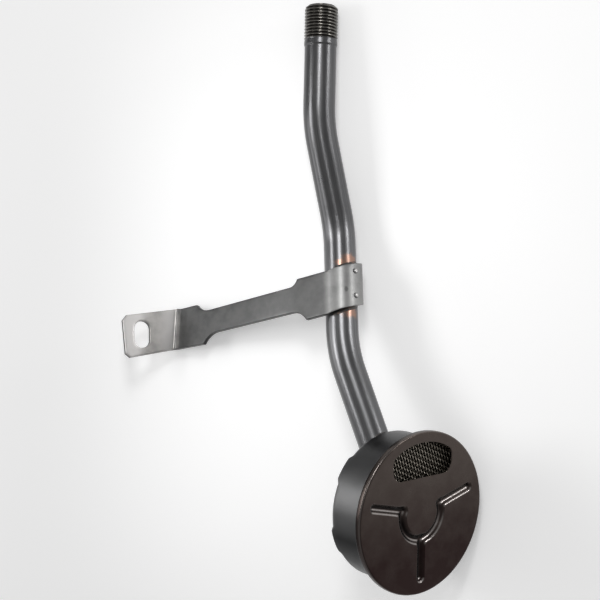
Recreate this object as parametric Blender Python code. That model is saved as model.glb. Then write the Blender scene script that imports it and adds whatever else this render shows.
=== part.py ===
"""Oil pickup tube of an engine: a bent steel tube with a threaded end, a strap brazed across it,
and a pressed can with a pierced cover and a wire screen on its lower end.

Every piece is drawn in one drawing frame, with the threaded end up (+Y), the strap to the left (-X)
and the cover facing the reader (+Z). At the end the whole part is turned to lie as it comes to rest
on a level floor, with +Z up and the floor at Z = 0.
"""
import math

import bmesh
import bpy
import numpy as np
from mathutils import Matrix, Vector
from mathutils.geometry import delaunay_2d_cdt

# Gap kept between pieces that touch on the real part (metres, as every length below)
FIT_GAP = 0.0003

# Bent tube: four straight runs and three bends, from the threaded end down to the can
TUBE_DIAMETER = 0.015875
TUBE_WALL = 0.00125
THREAD_DIAMETER = 0.0166
THREAD_LENGTH = 0.0198
THREAD_CHAMFER = 0.0014
THREAD_RUNOUT = 0.0008
TOP_RUN = 0.0597
UPPER_RUN = 0.0531
STRAP_RUN = 0.0625
LOWER_RUN = 0.0594
TOP_BEND_RADIUS = 0.080
MIDDLE_BEND_RADIUS = 0.046
LOWER_BEND_RADIUS = 0.075
# Each run's lean in degrees: to the right, and towards the reader, going down
TOP_LEAN = (-1.4, 3.8)
UPPER_LEAN = (11.1, -3.2)
STRAP_LEAN = (1.3, 15.8)
LOWER_LEAN = (19.0, 14.5)
TUBE_SIDES = 36
# Largest turn in degrees from one ring of a bend to the next
BEND_STEP = 4.5

# Strap: flat steel, half wrapped round the tube at one end and bent forward into a tab at the other
STRAP_THICKNESS = 0.0026
STRAP_STATION = 0.0276
STRAP_SADDLE_WIDTH = 0.0218
STRAP_END_WIDTH = 0.0213
STRAP_ROOT_WIDTH = 0.0217
# The narrow part at the saddle, and what it loses in width and height on its way to the tab
STRAP_NARROW_WIDTH = 0.0132
STRAP_NARROW_TAPER = 0.0007
STRAP_NARROW_LIFT = 0.0008
STRAP_NARROW_FALL = 0.0010
STRAP_START_ANGLE = -38.0
STRAP_WRAP_ANGLE = 124.0
STRAP_WRAP_RISE = 15.5
STRAP_WRAP_LIFT = 0.0005
STRAP_REACH = 0.1009
# The wide parts' sharp corners, from the tube's tangent line, and the round shoulders that leave them
SADDLE_TOP_END = 0.0191
SADDLE_BOTTOM_END = 0.0140
ROOT_TOP_END = 0.0857
ROOT_BOTTOM_END = 0.0811
SHOULDER_RADIUS = 0.0108
SADDLE_TOP_RADIUS = 0.0053
ROOT_DROP = 0.0006
ROOT_EAR = 0.0032
SADDLE_ROUND = 0.0100
SADDLE_CORNER = 0.0010
TAB_LENGTH = 0.0293
TAB_WIDTH = 0.0223
TAB_SLOPE = 10.0
TAB_END_SLOPE = 4.6
TAB_CORNER = 0.0024
TAB_BEND_ANGLE = 64.0
TAB_BEND_RADIUS = 0.0018
TAB_BEND_SKEW = 5.5
SLOT_WIDTH = 0.0086
SLOT_LENGTH = 0.0140
SLOT_FROM_BEND = 0.0193
STRAP_EDGE_BREAK = 0.0004
DIMPLE_RADIUS = 0.0011
DIMPLE_HEIGHT = 0.0005
# Where the dimples sit: the turn round the tube, and their heights above the strap's middle line
DIMPLE_ANGLE = 78.0
DIMPLE_PLACES = (0.0068, -0.0056)
WRAP_STEPS = 14
TAB_BEND_STEPS = 6

# Screen can: a drawn cup whose closed back takes the tube and whose flange takes the cover
CAN_RADIUS = 0.0353
CAN_DEPTH = 0.0252
CAN_WALL = 0.0007
CAN_BACK_RADIUS = 0.0034
CAN_LOBE_RADIUS = 0.0010
CAN_FLANGE_CORNER = 0.0008
CAN_TURN = 40.1
CAN_DIP = 7.2
# Where the tube's axis meets the back: how far from the can's wall, and how far to one side
ENTRY_FROM_WALL = 0.0178
ENTRY_SIDESTEP = 0.0019
TUBE_INTO_CAN = 0.0045
CUTTER_OVERRUN = 0.0020
# The back's corner is pressed out sharp in two pairs of lobes, by angle from the tube's side
CAN_LOBE_ANGLES = (52.5, 111.5)
CAN_LOBE_SPAN = 21.5
CAN_LOBE_FLANK = 5.0

# Cover: pierced by one window, stiffened by a pressed-in bead, its rim rolled over the can's flange.
# Its radius, the window's top and the bead's ends are set by how far they lie from the can's wall.
COVER_RIM = 0.0039
COVER_WALL = 0.0006
COVER_CORNER = 0.0010
COVER_LIP = 0.0013
BEAD_WIDTH = 0.0044
BEAD_DEPTH = 0.0016
BEAD_RING_RADIUS = 0.0123
BEAD_MARGIN = 0.0017
BEAD_ARM_ANGLE = 75.5
WINDOW_CHORD = 0.0174
WINDOW_MARGIN = 0.0012
WINDOW_WIDTH = 0.0373
WINDOW_CORNER = 0.0060
WINDOW_SHOULDER = 0.0040
COVER_SIDES = 72

# Wire screen: clamped in the rim, dished clear of the bead
SCREEN_THICKNESS = 0.0004
SCREEN_DISH = 0.0040
SCREEN_SLOPE = 60.0
WEAVE_PITCH = 0.0024
WEAVE_WIRE = 0.0010
WEAVE_RIDGE = 0.0002
WEAVE_TURN = 18.0
SCREEN_SIDES = 48
# Rings of points that fill the floor: share of its radius, and how many rim points one point stands for
FLOOR_RINGS = ((0.8, 2), (0.5, 3), (0.2, 6))
# How near an open cell of the weave a ring's point may come, in cells
CELL_REACH = 0.6

# Braze metal: the legs of its fillets, and where the strap's fillets run round the tube
STRAP_BRAZE = 0.0012
STRAP_BRAZE_ANGLES = (7.5, 109.0)
STRAP_BRAZE_STEPS = 12
TUBE_BRAZE = 0.0018
# Share of its leg that the tube's fillet loses round the corner of the can's back
TUBE_BRAZE_THINNING = 0.8
SETTLE_STEPS = 60


def clear_scene():
    for item in list(bpy.data.objects):
        bpy.data.objects.remove(item, do_unlink=True)


def metal(name, colour, roughness):
    material = bpy.data.materials.new(name)
    material.use_nodes = True
    shader = material.node_tree.nodes["Principled BSDF"]
    shader.inputs["Base Color"].default_value = (*colour, 1.0)
    shader.inputs["Roughness"].default_value = roughness
    shader.inputs["Metallic"].default_value = 1.0
    return material


def new_piece(name, mesh_builder, material, smooth_angle=35.0):
    """Turn a closed bmesh into an object with outward faces and smooth round surfaces."""
    bmesh.ops.recalc_face_normals(mesh_builder, faces=mesh_builder.faces)
    if mesh_builder.calc_volume(signed=True) < 0:
        bmesh.ops.reverse_faces(mesh_builder, faces=mesh_builder.faces)
    mesh = bpy.data.meshes.new(name)
    mesh_builder.to_mesh(mesh)
    mesh_builder.free()
    piece = bpy.data.objects.new(name, mesh)
    bpy.context.scene.collection.objects.link(piece)
    if material is not None:
        mesh.materials.append(material)
    mesh.shade_smooth()
    mesh.set_sharp_from_angle(angle=math.radians(smooth_angle))
    return piece


def apply_boolean(piece, cutter, operation, solver="EXACT"):
    """Join or cut with another object, bake the result into the mesh and remove the other object."""
    modifier = piece.modifiers.new(operation.lower(), "BOOLEAN")
    modifier.operation = operation
    modifier.solver = solver
    modifier.object = cutter
    bpy.context.view_layer.update()
    evaluated = piece.evaluated_get(bpy.context.evaluated_depsgraph_get())
    result = bpy.data.meshes.new_from_object(evaluated)
    piece.modifiers.remove(modifier)
    piece.data = result
    bpy.data.objects.remove(cutter, do_unlink=True)


def bridge_rings(builder, rings, close_length=False):
    """Skin a list of equal rings of points; the last ring joins the first one if asked."""
    vertices = [[builder.verts.new(point) for point in ring] for ring in rings]
    count = len(rings[0])
    spans = len(rings) if close_length else len(rings) - 1
    for i in range(spans):
        near, far = vertices[i], vertices[(i + 1) % len(rings)]
        for k in range(count):
            following = (k + 1) % count
            builder.faces.new((near[k], near[following], far[following], far[k]))
    return vertices


def arc_points(centre_x, centre_y, radius, start, end, steps):
    """Points on an arc in a plane, from one angle to another in degrees, both ends included."""
    angles = np.radians(np.linspace(start, end, steps + 1))
    return [(centre_x + radius * math.cos(a), centre_y + radius * math.sin(a)) for a in angles]


def lean_direction(lean):
    """Unit direction of a run going down, from its lean to the right and towards the reader."""
    right, forward = math.radians(lean[0]), math.radians(lean[1])
    level = math.cos(forward)
    return Vector((math.sin(right) * level, -math.cos(right) * level, math.sin(forward)))


# Shared layout: the tube's corners, the strap's frame and the can's frame

RUNS = ((TOP_RUN, TOP_LEAN), (UPPER_RUN, UPPER_LEAN), (STRAP_RUN, STRAP_LEAN), (LOWER_RUN, LOWER_LEAN))
DIRECTIONS = [lean_direction(lean) for _, lean in RUNS]
CORNERS = [Vector((0.0, 0.0, 0.0))]
for (run_length, _), run_direction in zip(RUNS, DIRECTIONS):
    CORNERS.append(CORNERS[-1] + run_direction * run_length)

TUBE_RADIUS = TUBE_DIAMETER / 2
BORE_RADIUS = TUBE_RADIUS - TUBE_WALL
COVER_RADIUS = CAN_RADIUS + COVER_RIM
WINDOW_TOP = CAN_RADIUS - WINDOW_MARGIN
BEAD_END_RADIUS = CAN_RADIUS - BEAD_MARGIN
ENTRY_RADIUS = CAN_RADIUS - ENTRY_FROM_WALL


def can_frame():
    """Frame of the can: +Z out of the cover, +X from the can's axis towards the tube's side,
    origin at the middle of the cover's outer face."""
    turn, dip = math.radians(CAN_TURN), math.radians(CAN_DIP)
    out = Vector((math.sin(turn) * math.cos(dip), -math.sin(dip), math.cos(turn) * math.cos(dip)))
    along = DIRECTIONS[-1]
    side = (along.dot(out) * out - along).normalized()
    across = out.cross(side)
    origin = CORNERS[-1] - side * ENTRY_RADIUS - across * ENTRY_SIDESTEP + out * CAN_DEPTH
    frame = Matrix((side, across, out)).transposed().to_4x4()
    frame.translation = origin
    return frame


CAN_FRAME = can_frame()


def strap_frame():
    """Frame of the flat strap: +X along it to the right, +Y up the tube, +Z out of its front,
    origin on the tube's axis at the strap's middle."""
    up = -DIRECTIONS[2]
    front = (Vector((0, 0, 1)) - up.z * up).normalized()
    right = up.cross(front)
    start = math.radians(STRAP_START_ANGLE)
    out = front * math.cos(start) + right * math.sin(start)
    frame = Matrix((up.cross(out), up, out)).transposed().to_4x4()
    frame.translation = CORNERS[3] + up * STRAP_STATION
    return frame


STRAP_FRAME = strap_frame()
SADDLE_RADIUS = TUBE_RADIUS + FIT_GAP
STRAP_MIDDLE_RADIUS = SADDLE_RADIUS + STRAP_THICKNESS / 2


# Bent tube

def tube_centreline():
    """Points and directions down the tube: the ends of every bend and even steps in it."""
    radii = (TOP_BEND_RADIUS, MIDDLE_BEND_RADIUS, LOWER_BEND_RADIUS)
    stations = [(CORNERS[0], DIRECTIONS[0])]
    for corner, radius, before, after in zip(CORNERS[1:4], radii, DIRECTIONS, DIRECTIONS[1:]):
        angle = before.angle(after)
        setback = radius * math.tan(angle / 2)
        start = corner - before * setback
        inward = (after - before * before.dot(after)).normalized()
        steps = max(3, round(math.degrees(angle) / BEND_STEP))
        for i in range(steps + 1):
            turned = angle * i / steps
            point = start + before * (radius * math.sin(turned)) + inward * (radius * (1 - math.cos(turned)))
            direction = before * math.cos(turned) + inward * math.sin(turned)
            stations.append((point, direction))
    stations.append((CORNERS[4], DIRECTIONS[3]))
    return stations


def ring_axes(stations):
    """A sideways axis for each station, carried along without twisting."""
    side = Vector((1, 0, 0))
    axes = []
    for _, direction in stations:
        side = (side - direction * side.dot(direction)).normalized()
        axes.append(side.copy())
    return axes


def tube_ring(centre, direction, side, radius):
    other = direction.cross(side)
    angles = [2 * math.pi * k / TUBE_SIDES for k in range(TUBE_SIDES)]
    return [centre + side * (radius * math.cos(a)) + other * (radius * math.sin(a)) for a in angles]


def slide_to_can(points, direction, depth):
    """Carry points along the tube to a plane parallel to the can's back, a depth inside it."""
    out = CAN_FRAME.col[2].to_3d()
    anchor = CORNERS[-1] + out * depth
    return [p + direction * ((anchor - p).dot(out) / direction.dot(out)) for p in points]


def make_tube(material):
    stations = tube_centreline()
    axes = ring_axes(stations)
    top, down = stations[0]
    thread_radius = THREAD_DIAMETER / 2
    threaded = ((0.0, thread_radius - THREAD_CHAMFER), (THREAD_CHAMFER, thread_radius),
                (THREAD_LENGTH, thread_radius), (THREAD_LENGTH + THREAD_RUNOUT, TUBE_RADIUS))
    outer = [tube_ring(top + down * along, down, axes[0], radius) for along, radius in threaded]
    inner = [tube_ring(top, down, axes[0], BORE_RADIUS)]
    for (point, direction), side in zip(stations[1:-1], axes[1:-1]):
        outer.append(tube_ring(point, direction, side, TUBE_RADIUS))
        inner.append(tube_ring(point, direction, side, BORE_RADIUS))
    point, direction = stations[-1]
    for rings, radius in ((outer, TUBE_RADIUS), (inner, BORE_RADIUS)):
        rings.append(slide_to_can(tube_ring(point, direction, axes[-1], radius), direction, TUBE_INTO_CAN))
    builder = bmesh.new()
    bridge_rings(builder, outer + inner[::-1], close_length=True)
    return new_piece("pickup_tube", builder, material)


# Strap

def rounded_outline(corners, steps=5):
    """Closed outline from (x, y, radius) corners; each corner becomes an arc of its radius."""
    outline = []
    count = len(corners)
    for i, (x, y, radius) in enumerate(corners):
        here = Vector((x, y))
        before = Vector(corners[i - 1][:2]) - here
        after = Vector(corners[(i + 1) % count][:2]) - here
        if radius <= 0:
            outline.append(here)
            continue
        half = before.angle(after) / 2
        reach = min(radius / math.tan(half), 0.49 * before.length, 0.49 * after.length)
        arc_radius = reach * math.tan(half)
        inward = (before.normalized() + after.normalized()).normalized()
        centre = here + inward * (arc_radius / math.sin(half))
        first = here + before.normalized() * reach - centre
        sweep = first.angle_signed(here + after.normalized() * reach - centre)
        for k in range(steps + 1):
            turn = Matrix.Rotation(-sweep * k / steps, 2)
            outline.append(centre + turn @ first)
    return outline


def shrink_outline(outline, distance):
    """Move a counter-clockwise outline inward by a distance, corner by corner."""
    moved = []
    count = len(outline)
    for i, point in enumerate(outline):
        before = (point - outline[i - 1]).normalized()
        after = (outline[(i + 1) % count] - point).normalized()
        normal = Vector((-before.y - after.y, before.x + after.x)).normalized()
        moved.append(point + normal * (distance / max(0.5, normal.dot(Vector((-before.y, before.x))))))
    return moved


def bend_line():
    """Middle point of the tab's bend line, its direction down, and the direction away from the tube."""
    skew = math.radians(TAB_BEND_SKEW)
    downward = Vector((-math.sin(skew), -math.cos(skew)))
    away = Vector((-math.cos(skew), math.sin(skew)))
    return Vector((-STRAP_REACH, 0.0)), downward, away


def wrap_edge(along, sign):
    """Height of the wrapped part's upper (1) or lower (-1) edge, a distance past the tangent line."""
    wrap = STRAP_MIDDLE_RADIUS * math.radians(STRAP_WRAP_ANGLE)
    start = STRAP_WRAP_LIFT + sign * STRAP_SADDLE_WIDTH / 2
    rise = wrap * math.tan(math.radians(STRAP_WRAP_RISE))
    end = STRAP_WRAP_LIFT + rise + sign * STRAP_END_WIDTH / 2
    return start + (end - start) * along / wrap


def shoulder(corner, height, radius, toward, steps=5):
    """Hollow arc from the sharp corner of a wide part to the narrow part's edge at a height, which it
    meets without a kink. The narrow part lies to the right of the corner (1) or to the left (-1)."""
    side = 1 if corner[1] > height else -1
    sweep = math.acos(1 - abs(corner[1] - height) / radius)
    foot = corner[0] + toward * radius * math.sin(sweep)
    turns = [sweep * (1 - k / steps) for k in range(steps + 1)]
    return [(foot - toward * radius * math.sin(t), height + side * radius * (1 - math.cos(t)), 0.0)
            for t in turns]


def strap_outline():
    """Flat pattern of the strap, counter-clockwise from the tab's bend; the tangent line is x = 0."""
    wrap = STRAP_MIDDLE_RADIUS * math.radians(STRAP_WRAP_ANGLE)
    saddle, root = STRAP_SADDLE_WIDTH / 2, STRAP_ROOT_WIDTH / 2
    middle, downward, _ = bend_line()
    half_bend = downward * (root / -downward.y)
    upper_bend, lower_bend = middle - half_bend, middle + half_bend
    slope, end_slope = math.radians(TAB_SLOPE), math.radians(TAB_END_SLOPE)
    tab_end = middle + Vector((-math.cos(slope), -math.sin(slope))) * TAB_LENGTH
    upward = Vector((-math.sin(end_slope), math.cos(end_slope)))
    upper_tab, lower_tab = tab_end + upward * (TAB_WIDTH / 2), tab_end - upward * (TAB_WIDTH / 2)
    to_upper_bend = (upper_bend - upper_tab).normalized()
    to_lower_bend = (lower_bend - lower_tab).normalized()
    near, far = STRAP_NARROW_WIDTH / 2, (STRAP_NARROW_WIDTH - STRAP_NARROW_TAPER) / 2
    near_middle, far_middle = STRAP_NARROW_LIFT, STRAP_NARROW_LIFT - STRAP_NARROW_FALL
    upper_root, lower_root = (-ROOT_TOP_END, root - ROOT_DROP), (-ROOT_BOTTOM_END, -root - ROOT_DROP)
    upper_saddle, lower_saddle = (-SADDLE_TOP_END, saddle), (-SADDLE_BOTTOM_END, -saddle)
    corners = [(*upper_bend, 0.0)]
    corners += [(*(upper_tab + to_upper_bend * TAB_CORNER), 0.0), (*(upper_tab - upward * TAB_CORNER), 0.0)]
    corners += [(*(lower_tab + upward * TAB_CORNER), 0.0), (*(lower_tab + to_lower_bend * TAB_CORNER), 0.0)]
    corners += [(*lower_bend, 0.0)]
    corners += shoulder(lower_root, far_middle - far, SHOULDER_RADIUS, 1)
    corners += shoulder(lower_saddle, near_middle - near, SHOULDER_RADIUS, -1)[::-1]
    corners += [(0.0, wrap_edge(0.0, -1), SADDLE_ROUND), (wrap, wrap_edge(wrap, -1), SADDLE_CORNER)]
    corners += [(wrap, wrap_edge(wrap, 1), SADDLE_CORNER), (0.0, wrap_edge(0.0, 1), SADDLE_ROUND)]
    corners += shoulder(upper_saddle, near_middle + near, SADDLE_TOP_RADIUS, -1)
    corners += shoulder(upper_root, far_middle + far, SHOULDER_RADIUS, 1)[::-1]
    corners += [(upper_bend.x + ROOT_EAR, root - ROOT_DROP, 0.0)]
    return rounded_outline(corners)


def slot_outline():
    """The long hole in the tab: a counter-clockwise slot with round ends, long across the strap."""
    slope = math.radians(TAB_SLOPE)
    centre = bend_line()[0] + Vector((-math.cos(slope), -math.sin(slope))) * SLOT_FROM_BEND
    radius, half = SLOT_WIDTH / 2, (SLOT_LENGTH - SLOT_WIDTH) / 2
    points = arc_points(centre.x, centre.y + half, radius, 0, 180, 10)
    points += arc_points(centre.x, centre.y - half, radius, 180, 360, 10)
    return [Vector(p) for p in points]


def shape_strap(flat):
    """Carry a point of the flat pattern, its depth z from the back face, to the bent strap."""
    x, y, z = flat
    middle, downward, away = bend_line()
    from_bend = Vector((x, y)) - middle
    past, down = from_bend.dot(away), from_bend.dot(downward)
    sheet_middle = TAB_BEND_RADIUS + STRAP_THICKNESS / 2
    angle = math.radians(TAB_BEND_ANGLE)
    start = -sheet_middle * angle / 2
    if past > start:
        turned = min((past - start) / sheet_middle, angle)
        beyond = max(0.0, past - start - sheet_middle * angle)
        axis_height = STRAP_THICKNESS + TAB_BEND_RADIUS
        arm = axis_height - z
        past = start + arm * math.sin(turned) + beyond * math.cos(turned)
        z = axis_height - arm * math.cos(turned) + beyond * math.sin(turned)
        x, y = middle + away * past + downward * down
    if x > 0:
        turned = x / STRAP_MIDDLE_RADIUS
        radius = SADDLE_RADIUS + z
        return Vector((radius * math.sin(turned), y, radius * math.cos(turned)))
    return Vector((x, y, SADDLE_RADIUS + z))


def add_loop(builder, outline, depth):
    return [builder.verts.new((p.x, p.y, depth)) for p in outline]


def loop_edges(builder, loop):
    return [builder.edges.get((a, b)) or builder.edges.new((a, b)) for a, b in zip(loop, loop[1:] + loop[:1])]


def make_strap(material):
    outline = strap_outline()
    slot = slot_outline()
    levels = (0.0, STRAP_EDGE_BREAK, STRAP_THICKNESS - STRAP_EDGE_BREAK, STRAP_THICKNESS)
    insets = (STRAP_EDGE_BREAK, 0.0, 0.0, STRAP_EDGE_BREAK)
    builder = bmesh.new()
    rims = []
    for points, sign in ((outline, 1), (slot, -1)):
        loops = [add_loop(builder, shrink_outline(points, sign * inset), level)
                 for level, inset in zip(levels, insets)]
        for near, far in zip(loops, loops[1:]):
            for k in range(len(near)):
                following = (k + 1) % len(near)
                builder.faces.new((near[k], near[following], far[following], far[k]))
        rims.append((loops[0], loops[-1]))
    for side in (0, 1):
        edges = []
        for rim in rims:
            edges += loop_edges(builder, rim[side])
        bmesh.ops.triangle_fill(builder, edges=edges, use_beauty=True, use_dissolve=False)
    middle, downward, away = bend_line()
    sheet_middle = TAB_BEND_RADIUS + STRAP_THICKNESS / 2
    bend_length = sheet_middle * math.radians(TAB_BEND_ANGLE)
    bend_shares = [i / TAB_BEND_STEPS - 0.5 for i in range(TAB_BEND_STEPS + 1)]
    cuts = [(middle + away * (bend_length * share), away) for share in bend_shares]
    wrap = STRAP_MIDDLE_RADIUS * math.radians(STRAP_WRAP_ANGLE)
    cuts += [(Vector((wrap * i / WRAP_STEPS, 0.0)), Vector((1.0, 0.0))) for i in range(WRAP_STEPS)]
    for place, normal in cuts:
        geometry = list(builder.verts) + list(builder.edges) + list(builder.faces)
        bmesh.ops.bisect_plane(builder, geom=geometry, dist=1e-7, plane_co=place.to_3d(),
                               plane_no=normal.to_3d())
    for vertex in builder.verts:
        vertex.co = STRAP_FRAME @ shape_strap(vertex.co)
    strap = new_piece("bracket_strap", builder, material)
    for height in DIMPLE_PLACES:
        apply_boolean(strap, strap_dimple(height), "UNION")
    return strap


def strap_dimple(height):
    """One small raised weld dimple on the wrapped end, a height above the strap's middle line:
    a low dome on a stem that reaches the middle of the sheet."""
    along = STRAP_MIDDLE_RADIUS * math.radians(DIMPLE_ANGLE)
    height += (wrap_edge(along, 1) + wrap_edge(along, -1)) / 2
    foot = STRAP_FRAME @ shape_strap(Vector((along, height, 0.0)))
    face = STRAP_FRAME @ shape_strap(Vector((along, height, STRAP_THICKNESS)))
    out = (face - foot).normalized()
    side = out.orthogonal().normalized()
    other = out.cross(side)
    profile = [(DIMPLE_RADIUS, -STRAP_THICKNESS / 2)]
    for rise in np.radians((0, 30, 60, 82)):
        profile.append((DIMPLE_RADIUS * math.cos(rise), DIMPLE_HEIGHT * math.sin(rise)))
    turns = [2 * math.pi * k / 12 for k in range(12)]
    rings = [[face + out * h + side * (r * math.cos(t)) + other * (r * math.sin(t)) for t in turns]
             for r, h in profile]
    builder = bmesh.new()
    vertices = bridge_rings(builder, rings)
    builder.faces.new(vertices[0])
    builder.faces.new(vertices[-1])
    return new_piece("dimple", builder, None)


# Can

def smooth_step(value):
    value = min(1.0, max(0.0, value))
    return value * value * (3 - 2 * value)


def back_corner_radius(angle):
    """Outer radius of the can's back corner at an angle from the tube's side, in degrees.
    It is small in the pressed-out lobes, with short flanks between them and the plain corner."""
    turned = abs((angle + 180.0) % 360.0 - 180.0)
    lobe = max(smooth_step((CAN_LOBE_SPAN / 2 - abs(turned - middle)) / CAN_LOBE_FLANK + 0.5)
               for middle in CAN_LOBE_ANGLES)
    return CAN_BACK_RADIUS + (CAN_LOBE_RADIUS - CAN_BACK_RADIUS) * lobe


def can_levels():
    """Heights down from the cover's outer face: screen rim, flange front, flange back, lip front, rim end."""
    screen_top = -COVER_WALL - FIT_GAP
    flange_front = screen_top - SCREEN_THICKNESS - FIT_GAP
    flange_back = flange_front - CAN_WALL
    lip_front = flange_back - FIT_GAP
    return screen_top, flange_front, flange_back, lip_front, lip_front - COVER_WALL


FLANGE_RADIUS = COVER_RADIUS - COVER_WALL - FIT_GAP


def can_profile(corner):
    """Half section of the can, (radius, height), from the back's outer face round to its inner face."""
    _, flange_front, flange_back, _, _ = can_levels()
    inside = CAN_RADIUS - CAN_WALL
    back_inside = -CAN_DEPTH + CAN_WALL
    fillet = CAN_FLANGE_CORNER
    inner_fillet = fillet + CAN_WALL
    inner_corner = max(corner - CAN_WALL, CAN_WALL / 2)
    flat_radius = CAN_RADIUS - CAN_BACK_RADIUS - CAN_WALL
    profile = [(flat_radius, -CAN_DEPTH)]
    profile += arc_points(CAN_RADIUS - corner, -CAN_DEPTH + corner, corner, -90, 0, 4)
    profile += arc_points(CAN_RADIUS + fillet, flange_back - fillet, fillet, 180, 90, 2)
    profile += [(FLANGE_RADIUS, flange_back), (FLANGE_RADIUS, flange_front)]
    profile += arc_points(inside + inner_fillet, flange_front - inner_fillet, inner_fillet, 90, 180, 3)
    profile += arc_points(inside - inner_corner, back_inside + inner_corner, inner_corner, 0, -90, 3)
    profile += [(flat_radius, back_inside)]
    return profile


def make_can(material):
    builder = bmesh.new()
    columns = []
    for k in range(COVER_SIDES):
        angle = 360.0 * k / COVER_SIDES
        turn = math.radians(angle)
        profile = can_profile(back_corner_radius(angle))
        columns.append([(r * math.cos(turn), r * math.sin(turn), z) for r, z in profile])
    rings = [list(ring) for ring in zip(*columns)]
    vertices = bridge_rings(builder, rings)
    builder.faces.new(vertices[0])
    builder.faces.new(vertices[-1])
    builder.transform(CAN_FRAME)
    can = new_piece("screen_can", builder, material)
    apply_boolean(can, tube_cutter(), "DIFFERENCE")
    return can


def tube_cutter():
    """A solid rod, a little larger than the tube, through the can's back."""
    direction = DIRECTIONS[-1]
    side = direction.orthogonal().normalized()
    reach = 3 * TUBE_DIAMETER
    end = CORNERS[-1]
    rings = [tube_ring(end - direction * reach, direction, side, TUBE_RADIUS + FIT_GAP)]
    rings += [slide_to_can(rings[0], direction, TUBE_INTO_CAN + CUTTER_OVERRUN)]
    builder = bmesh.new()
    vertices = bridge_rings(builder, rings)
    builder.faces.new(vertices[0])
    builder.faces.new(vertices[-1])
    return new_piece("tube_cutter", builder, None)


# Cover

def cover_profile():
    """Half section of the cover, from its outer face round the rolled rim to its inner face."""
    _, _, _, lip_front, rim_end = can_levels()
    inside = COVER_RADIUS - COVER_WALL
    corner = COVER_CORNER
    lip = CAN_RADIUS + COVER_LIP
    profile = arc_points(COVER_RADIUS - corner, -corner, corner, 90, 0, 3)
    profile += arc_points(COVER_RADIUS - COVER_WALL, rim_end + COVER_WALL, COVER_WALL, 0, -90, 3)
    profile += [(lip, rim_end), (lip, lip_front)]
    profile += [(inside, lip_front), (inside, -COVER_WALL)]
    return profile


def make_cover(material):
    builder = bmesh.new()
    profile = cover_profile()
    turns = [2 * math.pi * k / COVER_SIDES for k in range(COVER_SIDES)]
    rings = [[(r * math.cos(t), r * math.sin(t), z) for t in turns] for r, z in profile]
    vertices = bridge_rings(builder, rings)
    builder.faces.new(vertices[0])
    builder.faces.new(vertices[-1])
    builder.transform(CAN_FRAME)
    cover = new_piece("cover_plate", builder, material)
    groove_radius = (BEAD_WIDTH ** 2 / 4 + BEAD_DEPTH ** 2) / (2 * BEAD_DEPTH)
    # The exact solver leaves open edges where the bead's rods cross, and the manifold one doesn't
    for radius, ceiling, operation in ((groove_radius + COVER_WALL, -COVER_WALL / 2, "UNION"),
                                       (groove_radius, COVER_WALL, "DIFFERENCE")):
        for rod in bead_rods(radius, groove_radius - BEAD_DEPTH, ceiling):
            apply_boolean(cover, rod, operation, solver="MANIFOLD")
    apply_boolean(cover, window_cutter(), "DIFFERENCE")
    return cover


def bead_rods(radius, height, ceiling):
    """The bead as round-ended rods along its three arms and its ring, cut off flat at a ceiling.
    Their axes lie a height above the cover's outer face."""
    arms = (BEAD_ARM_ANGLE, 180.0, -BEAD_ARM_ANGLE)
    end = BEAD_END_RADIUS - BEAD_WIDTH / 2
    routes = []
    for angle in arms:
        turn = math.radians(angle)
        routes.append([(r * math.cos(turn), r * math.sin(turn)) for r in (BEAD_RING_RADIUS, end)])
    routes.append(arc_points(0.0, 0.0, BEAD_RING_RADIUS, BEAD_ARM_ANGLE, 360.0 - BEAD_ARM_ANGLE, 22))
    return [round_ended_rod([Vector((x, y, height)) for x, y in route], radius, ceiling) for route in routes]


def round_ended_rod(route, radius, ceiling, sides=20, cap_steps=5):
    """A rod with half-ball ends along a flat route, kept only below the ceiling."""
    rings = []
    count = len(route)
    for i, point in enumerate(route):
        direction = (route[min(i + 1, count - 1)] - route[max(i - 1, 0)]).normalized()
        across = Vector((0, 0, 1)).cross(direction)
        offsets = [(0.0, 1.0)]
        if i == 0:
            offsets = [(-math.cos(a), math.sin(a)) for a in np.linspace(0.12, math.pi / 2, cap_steps)]
        if i == count - 1:
            offsets = [(math.cos(a), math.sin(a)) for a in np.linspace(math.pi / 2, 0.12, cap_steps)]
        for along, outward in offsets:
            centre = point + direction * (radius * along)
            turns = [2 * math.pi * k / sides for k in range(sides)]
            rings.append([centre + across * (radius * outward * math.cos(t)) +
                          Vector((0, 0, radius * outward * math.sin(t))) for t in turns])
    builder = bmesh.new()
    vertices = bridge_rings(builder, rings)
    builder.faces.new(vertices[0])
    builder.faces.new(vertices[-1])
    geometry = list(builder.verts) + list(builder.edges) + list(builder.faces)
    cut = bmesh.ops.bisect_plane(builder, geom=geometry, dist=1e-7, plane_co=(0, 0, ceiling),
                                 plane_no=(0, 0, 1), clear_outer=True)
    open_edges = [item for item in cut["geom_cut"] if isinstance(item, bmesh.types.BMEdge)]
    bmesh.ops.holes_fill(builder, edges=open_edges)
    builder.transform(CAN_FRAME)
    return new_piece("bead_cutter", builder, None)


def window_outline():
    """The window: a straight lower edge, an upper edge concentric with the cover, rounded corners."""
    half = WINDOW_WIDTH / 2
    reach = math.degrees(math.asin(half / WINDOW_TOP))
    crown = arc_points(0.0, 0.0, WINDOW_TOP, -reach, reach, 8)
    corners = [(WINDOW_CHORD, half, WINDOW_CORNER), (WINDOW_CHORD, -half, WINDOW_CORNER)]
    corners.append((*crown[0], WINDOW_SHOULDER))
    corners += [(*point, 0.0) for point in crown[2:-2]]
    corners.append((*crown[-1], WINDOW_SHOULDER))
    return rounded_outline(corners)


def window_cutter():
    builder = bmesh.new()
    outline = window_outline()
    rings = [[(p.x, p.y, z) for p in outline] for z in (-2 * COVER_WALL, COVER_WALL)]
    vertices = bridge_rings(builder, rings)
    builder.faces.new(vertices[0])
    builder.faces.new(vertices[-1])
    builder.transform(CAN_FRAME)
    return new_piece("window_cutter", builder, None)


# Wire screen

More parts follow.
